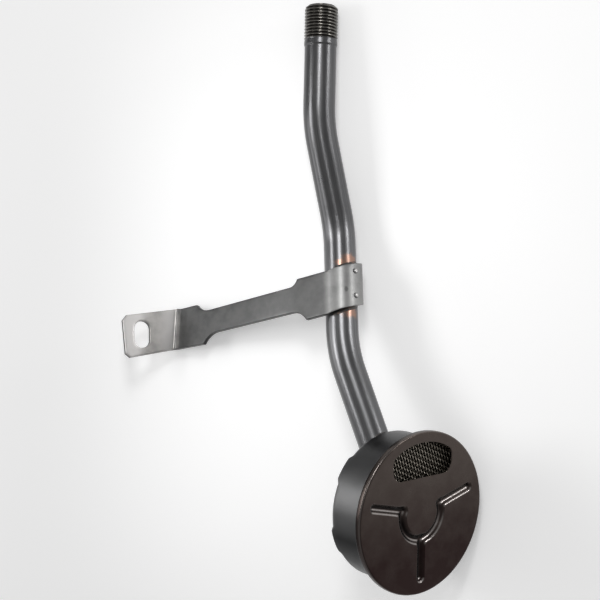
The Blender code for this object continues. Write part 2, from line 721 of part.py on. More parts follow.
def dish_profile():
    """Under side of the dished screen, (radius, height), from its edge to the start of its floor."""
    screen_top, flange_front, _, _, _ = can_levels()
    inside = CAN_RADIUS - CAN_WALL
    corner = CAN_FLANGE_CORNER + CAN_WALL
    bend = corner + FIT_GAP
    centre_r, centre_z = inside + corner, flange_front - corner
    profile = [(FLANGE_RADIUS, screen_top - SCREEN_THICKNESS)]
    profile += arc_points(centre_r, centre_z, bend, 90, 90 + SCREEN_SLOPE, 3)
    r, z = profile[-1]
    floor_z = screen_top - SCREEN_THICKNESS - SCREEN_DISH
    run = (z - floor_z) / math.tan(math.radians(SCREEN_SLOPE))
    return profile + [(r - run, floor_z)]


def dish_height(radius, profile):
    """Height of the under side at a radius, on straight lines between the profile's points."""
    radii = [r for r, _ in profile][::-1]
    heights = [z for _, z in profile][::-1]
    return float(np.interp(radius, radii, heights))


def weave_cells(floor_radius):
    """Cells of the weave with an open gap: those of the flat floor that lie behind the window."""
    turn = Matrix.Rotation(math.radians(WEAVE_TURN), 2)
    span = math.ceil(floor_radius / WEAVE_PITCH) + 1
    cells = []
    for i in range(-span, span):
        for j in range(-span, span):
            corners = [turn @ (Vector((i + a, j + b)) * WEAVE_PITCH) for a in (0, 1) for b in (0, 1)]
            inside = all(c.length < floor_radius - WEAVE_WIRE / 2 for c in corners)
            behind = all(c.x > WINDOW_CHORD - WEAVE_PITCH and abs(c.y) < WINDOW_WIDTH / 2 + WEAVE_PITCH / 2
                         for c in corners)
            if inside and behind:
                cells.append((i, j))
    return cells, turn


def make_screen(material):
    profile = dish_profile()
    floor_radius = profile[-1][0]
    cells, turn = weave_cells(floor_radius)
    cell_set = set(cells)
    half_wire = WEAVE_WIRE / 2 / WEAVE_PITCH
    points, ridge, keys, edges, gaps = [], [], {}, [], []

    def add_point(x, y, raised):
        key = (round(x, 6), round(y, 6))
        if key not in keys:
            keys[key] = len(points)
            points.append(turn @ (Vector((x, y)) * WEAVE_PITCH))
            ridge.append(raised)
        return keys[key]

    for i, j in cells:
        square = [add_point(i + a, j + b, 0.0) for a, b in
                  ((half_wire, half_wire), (1 - half_wire, half_wire),
                   (1 - half_wire, 1 - half_wire), (half_wire, 1 - half_wire))]
        gaps.append(square)
        edges += list(zip(square, square[1:] + square[:1]))
        for a, b in ((0, 0), (1, 0), (0, 1), (1, 1), (0.5, 0), (0.5, 1), (0, 0.5), (1, 0.5)):
            add_point(i + a, j + b, 1.0)
    radii = [r for r, _ in profile] + [share * floor_radius for share, _ in FLOOR_RINGS]
    sides = [SCREEN_SIDES] * len(profile) + [SCREEN_SIDES // fewer for _, fewer in FLOOR_RINGS]
    back = turn.inverted()
    rim = []
    for radius, count in zip(radii, sides):
        for k in range(count):
            angle = 2 * math.pi * k / count
            place = Vector((radius * math.cos(angle), radius * math.sin(angle)))
            cell = back @ place / WEAVE_PITCH
            near = {(math.floor(cell.x + a), math.floor(cell.y + b))
                    for a in (-CELL_REACH, CELL_REACH) for b in (-CELL_REACH, CELL_REACH)}
            if near & cell_set:
                continue
            if radius == radii[0]:
                rim.append(len(points))
            points.append(place)
            ridge.append(0.0)
    edges += list(zip(rim, rim[1:] + rim[:1]))
    flat, _, faces, origins, _, _ = delaunay_2d_cdt(points, edges, [], 0, 1e-7)
    raised = [max((ridge[k] for k in origin), default=0.0) for origin in origins]
    builder = bmesh.new()
    layers = []
    for side in (0, 1):
        layer = []
        for place, lift in zip(flat, raised):
            under = dish_height(place.length, profile)
            height = under + SCREEN_THICKNESS + lift * WEAVE_RIDGE if side else under - lift * WEAVE_RIDGE
            layer.append(builder.verts.new((place.x, place.y, height)))
        layers.append(layer)
    for face in faces:
        centre = back @ (sum((flat[k] for k in face), Vector((0, 0))) / len(face)) / WEAVE_PITCH
        cell = (math.floor(centre.x), math.floor(centre.y))
        inside = max(abs(centre.x - cell[0] - 0.5), abs(centre.y - cell[1] - 0.5)) < 0.5 - half_wire
        if cell in cell_set and inside:
            continue
        builder.faces.new([layers[1][k] for k in face])
        builder.faces.new([layers[0][k] for k in reversed(face)])
    lookup = {vertex: k for layer in layers for k, vertex in enumerate(layer)}
    open_edges = [edge for edge in builder.edges if len(edge.link_faces) == 1]
    top_layer = set(layers[1])
    for edge in open_edges:
        a, b = edge.verts
        if a in top_layer:
            builder.faces.new((a, b, layers[0][lookup[b]], layers[0][lookup[a]]))
    loose = [vertex for vertex in builder.verts if not vertex.link_faces]
    bmesh.ops.delete(builder, geom=loose, context="VERTS")
    builder.transform(CAN_FRAME)
    return new_piece("wire_screen", builder, material, smooth_angle=25.0)


# Braze metal

def make_strap_braze(name, upper, material):
    """A small fillet of braze on the tube along one edge of the wrapped strap."""
    sign = 1 if upper else -1
    rings = []
    for turn in np.radians(np.linspace(*STRAP_BRAZE_ANGLES, STRAP_BRAZE_STEPS + 1)):
        edge = wrap_edge(STRAP_MIDDLE_RADIUS * turn, sign)
        near = edge + sign * FIT_GAP
        far = edge + sign * (FIT_GAP + STRAP_BRAZE)
        section = ((near, 0.0), (far, 0.0), (near, STRAP_BRAZE))
        ring = []
        for height, lift in section:
            radius = SADDLE_RADIUS + lift
            ring.append(STRAP_FRAME @ Vector((radius * math.sin(turn), height, radius * math.cos(turn))))
        rings.append(ring)
    builder = bmesh.new()
    vertices = bridge_rings(builder, rings)
    builder.faces.new(vertices[0])
    builder.faces.new(vertices[-1])
    return new_piece(name, builder, material)


def clear_of_back(x, y):
    """Over a point of the can's plan: the height one fit gap outside its back, and how far round
    the rounded corner that is, from 0 on the flat to 1 at the wall, both in the can's frame."""
    radius = math.hypot(x, y)
    corner = back_corner_radius(math.degrees(math.atan2(y, x)))
    clear_corner = corner + FIT_GAP
    over = min(max(0.0, radius - (CAN_RADIUS - corner)), clear_corner)
    height = -CAN_DEPTH + corner - math.sqrt(clear_corner ** 2 - over ** 2)
    return height, over / clear_corner


def make_tube_braze(material):
    """A fillet of braze round the tube where it enters the can's back."""
    to_can = CAN_FRAME.inverted()
    direction = (to_can.to_3x3() @ DIRECTIONS[-1]).normalized()
    end = to_can @ CORNERS[-1]
    side = direction.orthogonal().normalized()
    feet = []
    for k in range(TUBE_SIDES):
        angle = 2 * math.pi * k / TUBE_SIDES
        outward = side * math.cos(angle) + direction.cross(side) * math.sin(angle)
        foot = end + outward * (TUBE_RADIUS + FIT_GAP)
        for _ in range(SETTLE_STEPS):
            foot += direction * ((clear_of_back(foot.x, foot.y)[0] - foot.z) / direction.z)
        feet.append(foot)
    rings = []
    for k, foot in enumerate(feet):
        along = feet[(k + 1) % TUBE_SIDES] - feet[k - 1]
        away = Vector((along.y, -along.x, 0.0)).normalized()
        if away.dot(foot - end) < 0:
            away = -away
        leg = TUBE_BRAZE * (1.0 - TUBE_BRAZE_THINNING * clear_of_back(foot.x, foot.y)[1])
        toe = foot + away * leg
        toe.z = clear_of_back(toe.x, toe.y)[0]
        rings.append([foot, toe, foot - direction * leg])
    builder = bmesh.new()
    bridge_rings(builder, rings, close_length=True)
    builder.transform(CAN_FRAME)
    return new_piece("tube_braze", builder, material)


# Rest on the floor

def volume_and_centre(mesh):
    """Signed volume and centroid of a closed mesh, summed over its triangles."""
    mesh.calc_loop_triangles()
    total, moment = 0.0, Vector((0, 0, 0))
    for triangle in mesh.loop_triangles:
        a, b, c = (mesh.vertices[k].co for k in triangle.vertices)
        volume = a.dot(b.cross(c)) / 6
        total += volume
        moment += (a + b + c) * (volume / 4)
    return total, moment / total


def resting_turn(pieces):
    """Turn that lays the part on the face of its convex hull under which its weight falls.
    Of the faces it can stand on, the one nearest the drawing's back is taken."""
    builder = bmesh.new()
    total, balance = 0.0, Vector((0, 0, 0))
    for piece in pieces:
        volume, centre = volume_and_centre(piece.data)
        total += volume
        balance += centre * volume
        for vertex in piece.data.vertices:
            builder.verts.new(vertex.co)
    balance /= total
    hull = bmesh.ops.convex_hull(builder, input=builder.verts)
    best, best_down = -2.0, Vector((0, 0, -1))
    for face in hull["geom"]:
        if not isinstance(face, bmesh.types.BMFace):
            continue
        corners = [vertex.co for vertex in face.verts]
        down = (corners[1] - corners[0]).cross(corners[2] - corners[0])
        if down.length < 1e-12:
            continue
        down.normalize()
        if down.dot(corners[0] - balance) < 0:
            down = -down
        foot = balance + down * down.dot(corners[0] - balance)
        turns = [(b - a).cross(foot - a).dot(down) for a, b in zip(corners, corners[1:] + corners[:1])]
        stable = all(t > 0 for t in turns) or all(t < 0 for t in turns)
        if stable and -down.z > best:
            best, best_down = -down.z, down
    builder.free()
    return best_down.rotation_difference(Vector((0, 0, -1))).to_matrix().to_4x4()


def lay_down(pieces):
    """Turn every piece to the resting attitude, then centre the part over the origin on the floor."""
    turn = resting_turn(pieces)
    for piece in pieces:
        piece.data.transform(turn)
    corners = np.array([vertex.co for piece in pieces for vertex in piece.data.vertices])
    low, high = corners.min(axis=0), corners.max(axis=0)
    shift = Matrix.Translation((-(low[0] + high[0]) / 2, -(low[1] + high[1]) / 2, -low[2]))
    for piece in pieces:
        piece.data.transform(shift)
        piece.data.update()
    return shift @ turn


def build():
    clear_scene()
    bare_steel = metal("bare_steel", (0.16, 0.16, 0.17), 0.34)
    strap_steel = metal("strap_steel", (0.24, 0.24, 0.24), 0.55)
    can_steel = metal("can_steel", (0.07, 0.07, 0.07), 0.42)
    cover_steel = metal("cover_steel", (0.10, 0.085, 0.08), 0.40)
    wire = metal("screen_wire", (0.30, 0.28, 0.25), 0.45)
    copper = metal("copper_braze", (0.62, 0.34, 0.20), 0.40)
    pieces = [make_tube(bare_steel), make_strap(strap_steel), make_can(can_steel), make_cover(cover_steel),
              make_screen(wire), make_strap_braze("strap_braze_upper", True, copper),
              make_strap_braze("strap_braze_lower", False, copper), make_tube_braze(copper)]
    return lay_down(pieces)


PLACEMENT = build()
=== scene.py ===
"""Looks of an oil pickup tube: a bent steel tube with a threaded end, a strap brazed across it, and a
pressed can with a pierced cover and a woven wire screen. It lies on a pale floor in soft studio light.

Each piece is drawn in the drawing frame of the part, threaded end up (+Y) and cover towards the
reader (+Z), and is then laid down as it rests on the floor.
"""
import math

import bmesh
import bpy
import numpy as np
from mathutils import Matrix, Vector
from mathutils.geometry import delaunay_2d_cdt


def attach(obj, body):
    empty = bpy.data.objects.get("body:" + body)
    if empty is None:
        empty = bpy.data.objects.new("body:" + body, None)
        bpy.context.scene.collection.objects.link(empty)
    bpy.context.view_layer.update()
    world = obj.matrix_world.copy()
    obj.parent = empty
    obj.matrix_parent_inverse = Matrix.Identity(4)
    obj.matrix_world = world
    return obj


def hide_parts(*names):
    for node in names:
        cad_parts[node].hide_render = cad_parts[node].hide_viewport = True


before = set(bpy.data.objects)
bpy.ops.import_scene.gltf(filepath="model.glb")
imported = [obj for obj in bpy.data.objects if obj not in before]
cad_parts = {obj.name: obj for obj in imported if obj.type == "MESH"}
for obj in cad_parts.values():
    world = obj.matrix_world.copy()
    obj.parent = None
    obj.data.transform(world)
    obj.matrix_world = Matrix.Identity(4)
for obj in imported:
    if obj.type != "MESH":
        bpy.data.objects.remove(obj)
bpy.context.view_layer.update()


# Pickup tube: one length of drawn steel tube, 5/8 inch outside, bent cold in three places.
# Its upper end is a little thicker and carries a cut male thread above a smooth collar.

TUBE_RADIUS = 0.0079375
TUBE_WALL = 0.00125
RUN_LENGTHS = (0.0597, 0.0531, 0.0625, 0.0594)
# Lean of each run going down, in degrees: to the right, and towards the reader
RUN_LEANS = ((-1.4, 3.8), (11.1, -3.2), (1.3, 15.8), (19.0, 14.5))
BEND_RADII = (0.080, 0.046, 0.075)
TUBE_INTO_CAN = 0.0045
THREAD_RADIUS = 0.0083
THREAD_PITCH = 0.0015875
THREAD_DEPTH = 0.00085
THREAD_START = 0.0004
THREAD_END = 0.0166
THREAD_FADE = 0.0010
THREAD_ROUND = 0.0017
COLLAR_END = 0.0198
COLLAR_RUNOUT = 0.0007
COLLAR_WAIST = 0.00016
TUBE_SIDES = 96
# How steep the thread's flanks are, and how much of its wave is lost at the root
THREAD_FLANK = 1.6
THREAD_FLAT = 0.22
# Rings of points: to a pitch of thread, over the collar's edge and its margins, along a bend, and how far
# apart on a straight run; the bore has one at its mouth and then every second one from below the collar
PITCH_RINGS = 12
COLLAR_RINGS = 16
COLLAR_MARGINS = (0.0016, 0.0008)
BEND_RINGS = 18
RUN_STEP = 0.004
BORE_FIRST_RING = 150
# The drawing is tilted about a level axis and shifted, so that the part lies on the floor
REST_TILT = 22.7681
REST_AXIS = 94.6013
REST_SHIFT = (0.0125905, 0.1415911, 0.0081061)
# The can's turn and dip in degrees, its depth, and where the tube enters its back
CAN_TURN = 40.1
CAN_DIP = 7.2
CAN_DEPTH = 0.0252
ENTRY_OFFSET = (0.0175, 0.0019)
STEEL_DARK = (0.090, 0.090, 0.093, 1.0)
STEEL_LIGHT = (0.140, 0.140, 0.143, 1.0)
THREAD_ROOT_SHADE = (0.060, 0.056, 0.051, 1.0)
THREAD_CREST_HIGHLIGHT = (0.165, 0.158, 0.145, 1.0)
# Painted shade in the thread's roots and painted highlight on its crests: depths under the crests between
# which the colour changes, and how soon it ends at the collar
THREAD_SHADING = (0.0005, 0.00005)
THREAD_SHADING_END = 0.0006
# Painted light: the run that holds the strap is lighter, where more light falls on it; distances down it,
# and what stays below
LIT_RUN_DARK = (0.117, 0.117, 0.1209, 1.0)
LIT_RUN_LIGHT = (0.182, 0.182, 0.1859, 1.0)
LIT_RUN = (0.108, 0.116, 0.172, 0.184)
LIT_RUN_REST = 0.4
# Streaks and blotches drawn out along the tube: scale of the pattern, and of its length
STREAKS = (1400.0, 0.012)
BLOTCHES = (180.0, 0.35)
TUBE_ROUGHNESS = (0.27, 0.32)
# Copper tint left on the tube by the brazing: turn round the tube, distance down it, half width and half
# length; its ragged edge, strongest inside the first bound and gone past the second
COPPER = (0.36, 0.210, 0.155, 1.0)
COPPER_PATCHES = ((50.0, 0.1292, 0.0046, 0.0027), (77.0, 0.1316, 0.0048, 0.0020),
                  (58.0, 0.1560, 0.0046, 0.0034))
COPPER_SHARE = 0.8
COPPER_EDGE = (0.45, 1.25)
COPPER_RAGGED = 0.22
COPPER_GRAIN = 420.0
# Values between which a noise mostly stays
NOISE_RANGE = (0.3, 0.7)


def unit(vector):
    """Each row divided by its length."""
    vector = np.asarray(vector, float)
    return vector / np.linalg.norm(vector, axis=-1, keepdims=True)


def round_points(count):
    """(cos a, sin a) at even angles a round a circle."""
    turns = np.linspace(0, 2 * math.pi, count, endpoint=False)
    return np.stack([np.cos(turns), np.sin(turns)], axis=1)


def lean_direction(right, forward):
    """(sin r cos f, -cos r cos f, sin f) for leans r to the right and f towards the reader."""
    r, f = math.radians(right), math.radians(forward)
    return np.array((math.sin(r) * math.cos(f), -math.cos(r) * math.cos(f), math.sin(f)))


def smooth(value):
    """3v^2 - 2v^3 of the value held between 0 and 1."""
    value = np.clip(value, 0.0, 1.0)
    return value * value * (3 - 2 * value)


RUN_DIRECTIONS = np.array([lean_direction(*lean) for lean in RUN_LEANS])
CORNERS = np.vstack([np.zeros(3), np.cumsum(RUN_DIRECTIONS * np.array(RUN_LENGTHS)[:, None], axis=0)])
REST_TURN = np.array(Matrix.Rotation(math.radians(REST_TILT), 3, Vector(
    (math.cos(math.radians(REST_AXIS)), math.sin(math.radians(REST_AXIS)), 0.0))))


def can_axes():
    """Rows side, across, out and origin. out = (sin t cos d, -sin d, cos t cos d) leaves the cover;
    side points from the can's axis towards the tube; the origin is the middle of the cover's face."""
    turn, dip = math.radians(CAN_TURN), math.radians(CAN_DIP)
    out = np.array((math.sin(turn) * math.cos(dip), -math.sin(dip), math.cos(turn) * math.cos(dip)))
    along = RUN_DIRECTIONS[-1]
    side = unit(along @ out * out - along)
    across = np.cross(out, side)
    origin = CORNERS[-1] - side * ENTRY_OFFSET[0] - across * ENTRY_OFFSET[1] + out * CAN_DEPTH
    return np.array((side, across, out)), origin


CAN_AXES, CAN_ORIGIN = can_axes()


def lay_down(points):
    """Drawing frame to floor: turn every point to the resting attitude, then shift it."""
    return np.asarray(points) @ REST_TURN.T + np.array(REST_SHIFT)


def from_can(points):
    """Can's frame (x side, y across, z out of the cover) to the drawing frame."""
    return np.asarray(points) @ CAN_AXES + CAN_ORIGIN


def grid_quads(rows, columns, offset=0, close_rows=False):
    """Faces of a grid whose columns close into rings; the last row joins the first if asked."""
    i = np.arange(rows if close_rows else rows - 1)[:, None]
    k = np.arange(columns)[None, :]
    near, far = i * columns, (i + 1) % rows * columns
    following = (k + 1) % columns
    quads = np.stack([near + k, near + following, far + following, far + k], axis=-1)
    return quads.reshape(-1, 4) + offset


def new_piece(name, points, faces, material, smooth_angle=38.0, weld=0.0, fields=None):
    """Mesh from rows of points and a list of face arrays; welds equal points, turns faces outward."""
    mesh = bpy.data.meshes.new(name)
    sizes = np.concatenate([np.full(len(f), f.shape[1]) for f in faces])
    corners = np.concatenate([f.ravel() for f in faces])
    mesh.vertices.add(len(points))
    mesh.vertices.foreach_set("co", np.asarray(points, np.float32).ravel())
    mesh.loops.add(len(corners))
    mesh.loops.foreach_set("vertex_index", corners.astype(np.int32))
    mesh.polygons.add(len(sizes))
    mesh.polygons.foreach_set("loop_start", np.concatenate([[0], np.cumsum(sizes)[:-1]]).astype(np.int32))
    mesh.update(calc_edges=True)
    for field, values in (fields or {}).items():
        attribute = mesh.attributes.new(field, "FLOAT_VECTOR", "POINT")
        attribute.data.foreach_set("vector", np.asarray(values, np.float32).ravel())
    builder = bmesh.new()
    builder.from_mesh(mesh)
    if weld:
        bmesh.ops.remove_doubles(builder, verts=builder.verts, dist=weld)
    bmesh.ops.recalc_face_normals(builder, faces=builder.faces)
    if builder.calc_volume(signed=True) < 0:
        bmesh.ops.reverse_faces(builder, faces=builder.faces)
    builder.to_mesh(mesh)
    builder.free()
    mesh.materials.append(material)
    mesh.shade_smooth()
    mesh.set_sharp_from_angle(angle=math.radians(smooth_angle))
    piece = bpy.data.objects.new(name, mesh)
    bpy.context.scene.collection.objects.link(piece)
    return piece


class Shader:
    """Builds one material's nodes; add() returns a node with its plain inputs set and sockets linked."""

    def __init__(self, name):
        self.material = bpy.data.materials.new(name)
        self.material.use_nodes = True
        self.tree = self.material.node_tree
        self.body = self.tree.nodes["Principled BSDF"]

    def link(self, source, target):
        self.tree.links.new(source, target)

    def add(self, kind, settings=None, **inputs):
        node = self.tree.nodes.new(kind)
        for key, value in (settings or {}).items():
            setattr(node, key, value)
        for key, value in inputs.items():
            socket = node.inputs[int(key[1:])] if key[0] == "i" and key[1:].isdigit() else node.inputs[key]
            if isinstance(value, bpy.types.NodeSocket):
                self.link(value, socket)
            else:
                socket.default_value = value
        return node

    def place(self, name=None):
        """Object coordinates, or a named field of the mesh."""
        if name is None:
            return self.add("ShaderNodeTexCoord").outputs["Object"]
        return self.add("ShaderNodeAttribute", {"attribute_name": name}).outputs["Vector"]

    def scaled(self, vector, scale, shift=(0.0, 0.0, 0.0)):
        return self.add("ShaderNodeMapping", Vector=vector, Scale=scale, Location=shift).outputs["Vector"]

    def noise(self, vector, scale, detail=3.0, roughness=0.55):
        return self.add("ShaderNodeTexNoise", Vector=vector, Scale=scale, Detail=detail,
                        Roughness=roughness).outputs["Fac"]

    def span(self, value, low, high, start=0.0, end=1.0):
        """The value carried smoothly from low..high to start..end."""
        node = self.add("ShaderNodeMapRange", {"interpolation_type": "SMOOTHSTEP"}, i0=value, i1=low, i2=high,
                        i3=start, i4=end)
        return node.outputs["Result"]

    def shade(self, noise, start=0.0, end=1.0):
        """A noise's usual range carried to start..end."""
        return self.span(noise, *NOISE_RANGE, start, end)

    def band(self, value, low, full, fading, end, peak=1.0, rest=0.0):
        """0 up to low, the peak from full to fading, and peak times rest past the end."""
        return self.math("MULTIPLY", self.span(value, low, full), self.span(value, fading, end, peak, rest))

    def parts(self, vector):
        """Sockets X, Y and Z of a vector."""
        return self.add("ShaderNodeSeparateXYZ", Vector=vector).outputs

    def length(self, vector):
        return self.add("ShaderNodeVectorMath", {"operation": "LENGTH"}, i0=vector).outputs["Value"]

    def away_from(self, vector, middle, half_sizes):
        """Distance from a middle, each axis divided by its half size: 1 on that ellipsoid."""
        away = self.add("ShaderNodeVectorMath", {"operation": "SUBTRACT"}, i0=vector, i1=middle).outputs[0]
        return self.length(self.scaled(away, [1 / size for size in half_sizes]))

    def most(self, first, *others):
        """The greatest of some values."""
        for other in others:
            first = self.math("MAXIMUM", first, other)
        return first

    def math(self, operation, a, b=0.0):
        return self.add("ShaderNodeMath", {"operation": operation}, i0=a, i1=b).outputs["Value"]

    def mix(self, factor, first, second):
        node = self.add("ShaderNodeMix", {"data_type": "RGBA"})
        for socket, value in ((node.inputs[0], factor), (node.inputs[6], first), (node.inputs[7], second)):
            if isinstance(value, bpy.types.NodeSocket):
                self.link(value, socket)
            else:
                socket.default_value = value
        return node.outputs[2]

    def bump(self, height, distance, strength=1.0):
        node = self.add("ShaderNodeBump", Height=height, Distance=distance, Strength=strength)
        self.link(node.outputs["Normal"], self.body.inputs["Normal"])

    def finish(self, colour, roughness, metallic=1.0):
        for name, value in (("Base Color", colour), ("Roughness", roughness), ("Metallic", metallic)):
            if isinstance(value, bpy.types.NodeSocket):
                self.link(value, self.body.inputs[name])
            else:
                self.body.inputs[name].default_value = value
        return self.material


def tube_stations():
    """Centres, directions and distances down the tube. A bend of radius R and turn a between runs u and v
    starts R tan(a/2) before its corner p: centre = start + u R sin t + w R (1 - cos t), w square to u."""
    centres, directions = [], []
    start, before = CORNERS[0], RUN_DIRECTIONS[0]
    ends = np.concatenate([np.arange(THREAD_START, THREAD_END + THREAD_FADE, THREAD_PITCH / PITCH_RINGS),
                           np.linspace(COLLAR_END - COLLAR_MARGINS[0],
                                       COLLAR_END + COLLAR_RUNOUT + COLLAR_MARGINS[1], COLLAR_RINGS)])
    centres.append(start + before * ends[:, None])
    directions.append(np.tile(before, (len(ends), 1)))
    done = ends[-1]
    for corner, radius, after in zip(CORNERS[1:4], BEND_RADII, RUN_DIRECTIONS[1:]):
        angle = math.acos(before @ after)
        foot = corner - before * radius * math.tan(angle / 2)
        length = np.linalg.norm(foot - start)
        steps = np.arange(done + RUN_STEP, length - RUN_STEP / 2, RUN_STEP)
        centres.append(start + before * steps[:, None])
        directions.append(np.tile(before, (len(steps), 1)))
        inward = unit(after - before * (before @ after))
        turned = np.linspace(0.0, angle, BEND_RINGS)[:, None]
        centres.append(foot + before * radius * np.sin(turned) + inward * radius * (1 - np.cos(turned)))
        directions.append(before * np.cos(turned) + inward * np.sin(turned))
        start, before, done = centres[-1][-1], after, 0.0
    length = np.linalg.norm(CORNERS[4] - start)
    steps = np.arange(RUN_STEP, length, RUN_STEP)
    steps[-1] = length
    centres.append(start + before * steps[:, None])
    directions.append(np.tile(before, (len(steps), 1)))
    centres, directions = np.vstack(centres), np.vstack(directions)
    gone = np.concatenate([[0.0], np.cumsum(np.linalg.norm(np.diff(centres, axis=0), axis=1))])
    return centres, directions, gone


def tube_surface(radius_at, slide):
    """Rings of points round the tube, C + r (side cos a + other sin a), with r = radius_at(distance, a).
    Also gives the same points on a straight tube, (r cos a, r sin a, -distance), for the finish.
    The last ring is slid along the tube onto a plane level with the can's back, a depth inside it."""
    centres, directions, gone = tube_stations()
    sides = [np.array((1.0, 0.0, 0.0))]
    for direction in directions:
        sides.append(unit(sides[-1] - direction * (direction @ sides[-1])))
    sides = np.array(sides[1:])
    others = np.cross(directions, sides)
    turns = np.linspace(0, 2 * math.pi, TUBE_SIDES, endpoint=False)
    radius = radius_at(gone[:, None], turns[None, :])
    offset = sides[:, None] * np.cos(turns)[None, :, None] + others[:, None] * np.sin(turns)[None, :, None]
    points = centres[:, None] + radius[..., None] * offset
    anchor = CORNERS[4] + CAN_AXES[2] * slide
    last = points[-1]
    along = ((anchor - last) @ CAN_AXES[2]) / (directions[-1] @ CAN_AXES[2])
    points[-1] = last + directions[-1] * along[:, None]
    straight = np.stack([radius * np.cos(turns), radius * np.sin(turns),
                         np.broadcast_to(-gone[:, None], radius.shape)], axis=-1)
    return points, straight


def outer_radius(distance, angle):
    """Thread of triangle waves on the helix distance/pitch - angle/turn, cut off flat at the crests,
    fading into the smooth collar, which steps in to the plain tube; the top edge is a quarter round."""
    phase = (distance / THREAD_PITCH + angle / (2 * math.pi)) % 1.0
    wave = np.clip(np.abs(2 * phase - 1) * THREAD_FLANK - THREAD_FLAT, 0.0, 1.0)
    fade = 1 - smooth((distance - THREAD_END) / THREAD_FADE)
    thread = THREAD_RADIUS - THREAD_DEPTH * (1 - wave) * fade
    short = np.clip(THREAD_ROUND - (distance - THREAD_START), 0.0, THREAD_ROUND)
    top_edge = THREAD_RADIUS - THREAD_ROUND + np.sqrt(THREAD_ROUND ** 2 - short ** 2)
    waist = COLLAR_WAIST * np.clip((COLLAR_END - distance) / (COLLAR_END - THREAD_END), 0.0, 1.0) * (1 - fade)
    body = TUBE_RADIUS + (THREAD_RADIUS - TUBE_RADIUS) * (1 - smooth((distance - COLLAR_END) / COLLAR_RUNOUT))
    return np.minimum(np.minimum(thread - waist, top_edge), body) + 0 * angle


def make_tube(material):
    outer, outer_straight = tube_surface(outer_radius, TUBE_INTO_CAN)
    inner, inner_straight = tube_surface(lambda d, a: TUBE_RADIUS - TUBE_WALL + 0 * d * a, TUBE_INTO_CAN)
    keep = np.concatenate([[0], np.arange(BORE_FIRST_RING, len(inner), 2), [len(inner) - 1]])
    rings = np.concatenate([outer, inner[keep][::-1]])
    straight = np.concatenate([outer_straight, inner_straight[keep][::-1]])
    quads = grid_quads(len(rings), TUBE_SIDES, close_rows=True)
    return new_piece("tube", lay_down(rings.reshape(-1, 3)), [quads], material,
                     fields={"straight": straight.reshape(-1, 3)})


def tube_finish():
    """Dark drawn steel with lengthwise streaks, with painted light along the run that holds the strap; a
    thread with painted shade in its roots, painted highlights on its crests; copper where brazing flooded the
    tube."""
    s = Shader("tube_steel")
    straight = s.place("straight")
    streaks, blotches = [s.noise(s.scaled(straight, (1.0, 1.0, length)), scale, detail, 0.6)
                         for (scale, length), detail in ((STREAKS, 3.0), (BLOTCHES, 4.0))]
    tone = s.math("MULTIPLY", s.shade(streaks), s.span(blotches, 0.2, 0.8, 0.5, 1.0))
    down = s.math("MULTIPLY", s.parts(straight)["Z"], -1.0)
    # Painted light: lighter along the run that holds the strap
    colour = s.mix(s.band(down, *LIT_RUN, rest=LIT_RUN_REST), s.mix(tone, STEEL_DARK, STEEL_LIGHT),
                   s.mix(tone, LIT_RUN_DARK, LIT_RUN_LIGHT))
    around = s.length(s.scaled(straight, (1.0, 1.0, 0.0)))
    # Painted shade in the thread's roots, painted highlight on its crests
    crest_highlight = s.span(around, *[THREAD_RADIUS - depth for depth in THREAD_SHADING])
    threaded = s.span(down, THREAD_END, THREAD_END + THREAD_SHADING_END, 1.0, 0.0)
    colour = s.mix(threaded, colour, s.mix(crest_highlight, THREAD_ROOT_SHADE, THREAD_CREST_HIGHLIGHT))
    patches = []
    for turn, below, half_width, half_length in COPPER_PATCHES:
        a = math.radians(turn)
        middle = (TUBE_RADIUS * math.cos(a), TUBE_RADIUS * math.sin(a), -below)
        distance = s.away_from(straight, middle, (half_width, half_width, half_length))
        ragged = s.shade(s.noise(straight, COPPER_GRAIN), -COPPER_RAGGED, COPPER_RAGGED)
        patches.append(s.span(s.math("ADD", distance, ragged), *COPPER_EDGE, COPPER_SHARE, 0.0))
    colour = s.mix(s.most(*patches), colour, COPPER)
    s.bump(streaks, 0.00002, 0.25)
    return s.finish(colour, s.span(blotches, 0.25, 0.75, *TUBE_ROUGHNESS))


tube = make_tube(tube_finish())
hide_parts("pickup_tube")
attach(tube, "root")


# Bracket strap: one flat steel strip, blanked with a narrow middle, wrapped over the tube at one end
# and bent forward into a slotted tab at the other. Two small weld pips stand on the wrap.

STRAP_THICKNESS = 0.0026
STRAP_STATION = 0.0276
STRAP_START = -38.0
STRAP_WRAP = 124.0
STRAP_REACH = 0.1009
FIT_GAP = 0.0003
SADDLE_WIDTH = 0.0218
WRAP_END_WIDTH = 0.0213
WRAP_RISE = 15.5
WRAP_LIFT = 0.0005
ROOT_WIDTH = 0.0217
NARROW_WIDTHS = (0.0132, 0.0125)
NARROW_MIDDLES = (0.0008, -0.0002)
SADDLE_ENDS = (0.0191, 0.0140)
ROOT_ENDS = (0.0857, 0.0811)
ROOT_DROP = 0.0006
ROOT_EAR = 0.0032
SHOULDER_RADIUS = 0.0108
SADDLE_TOP_RADIUS = 0.0053
TAB_LENGTH = 0.0293
TAB_WIDTH = 0.0223
TAB_SLOPE = 10.0
TAB_END_SLOPE = 4.6
TAB_CORNER = 0.0024
TAB_BEND = 64.0
TAB_BEND_RADIUS = 0.0018
TAB_BEND_SKEW = 5.5
SLOT_WIDTH = 0.0086
SLOT_LENGTH = 0.0140
SLOT_FROM_BEND = 0.0193
STRAP_EDGE = 0.0004
PIP_RADIUS = 0.0012
PIP_HEIGHT = 0.0009
PIP_TURN = 78.0
PIP_PLACES = (0.0068, -0.0056)
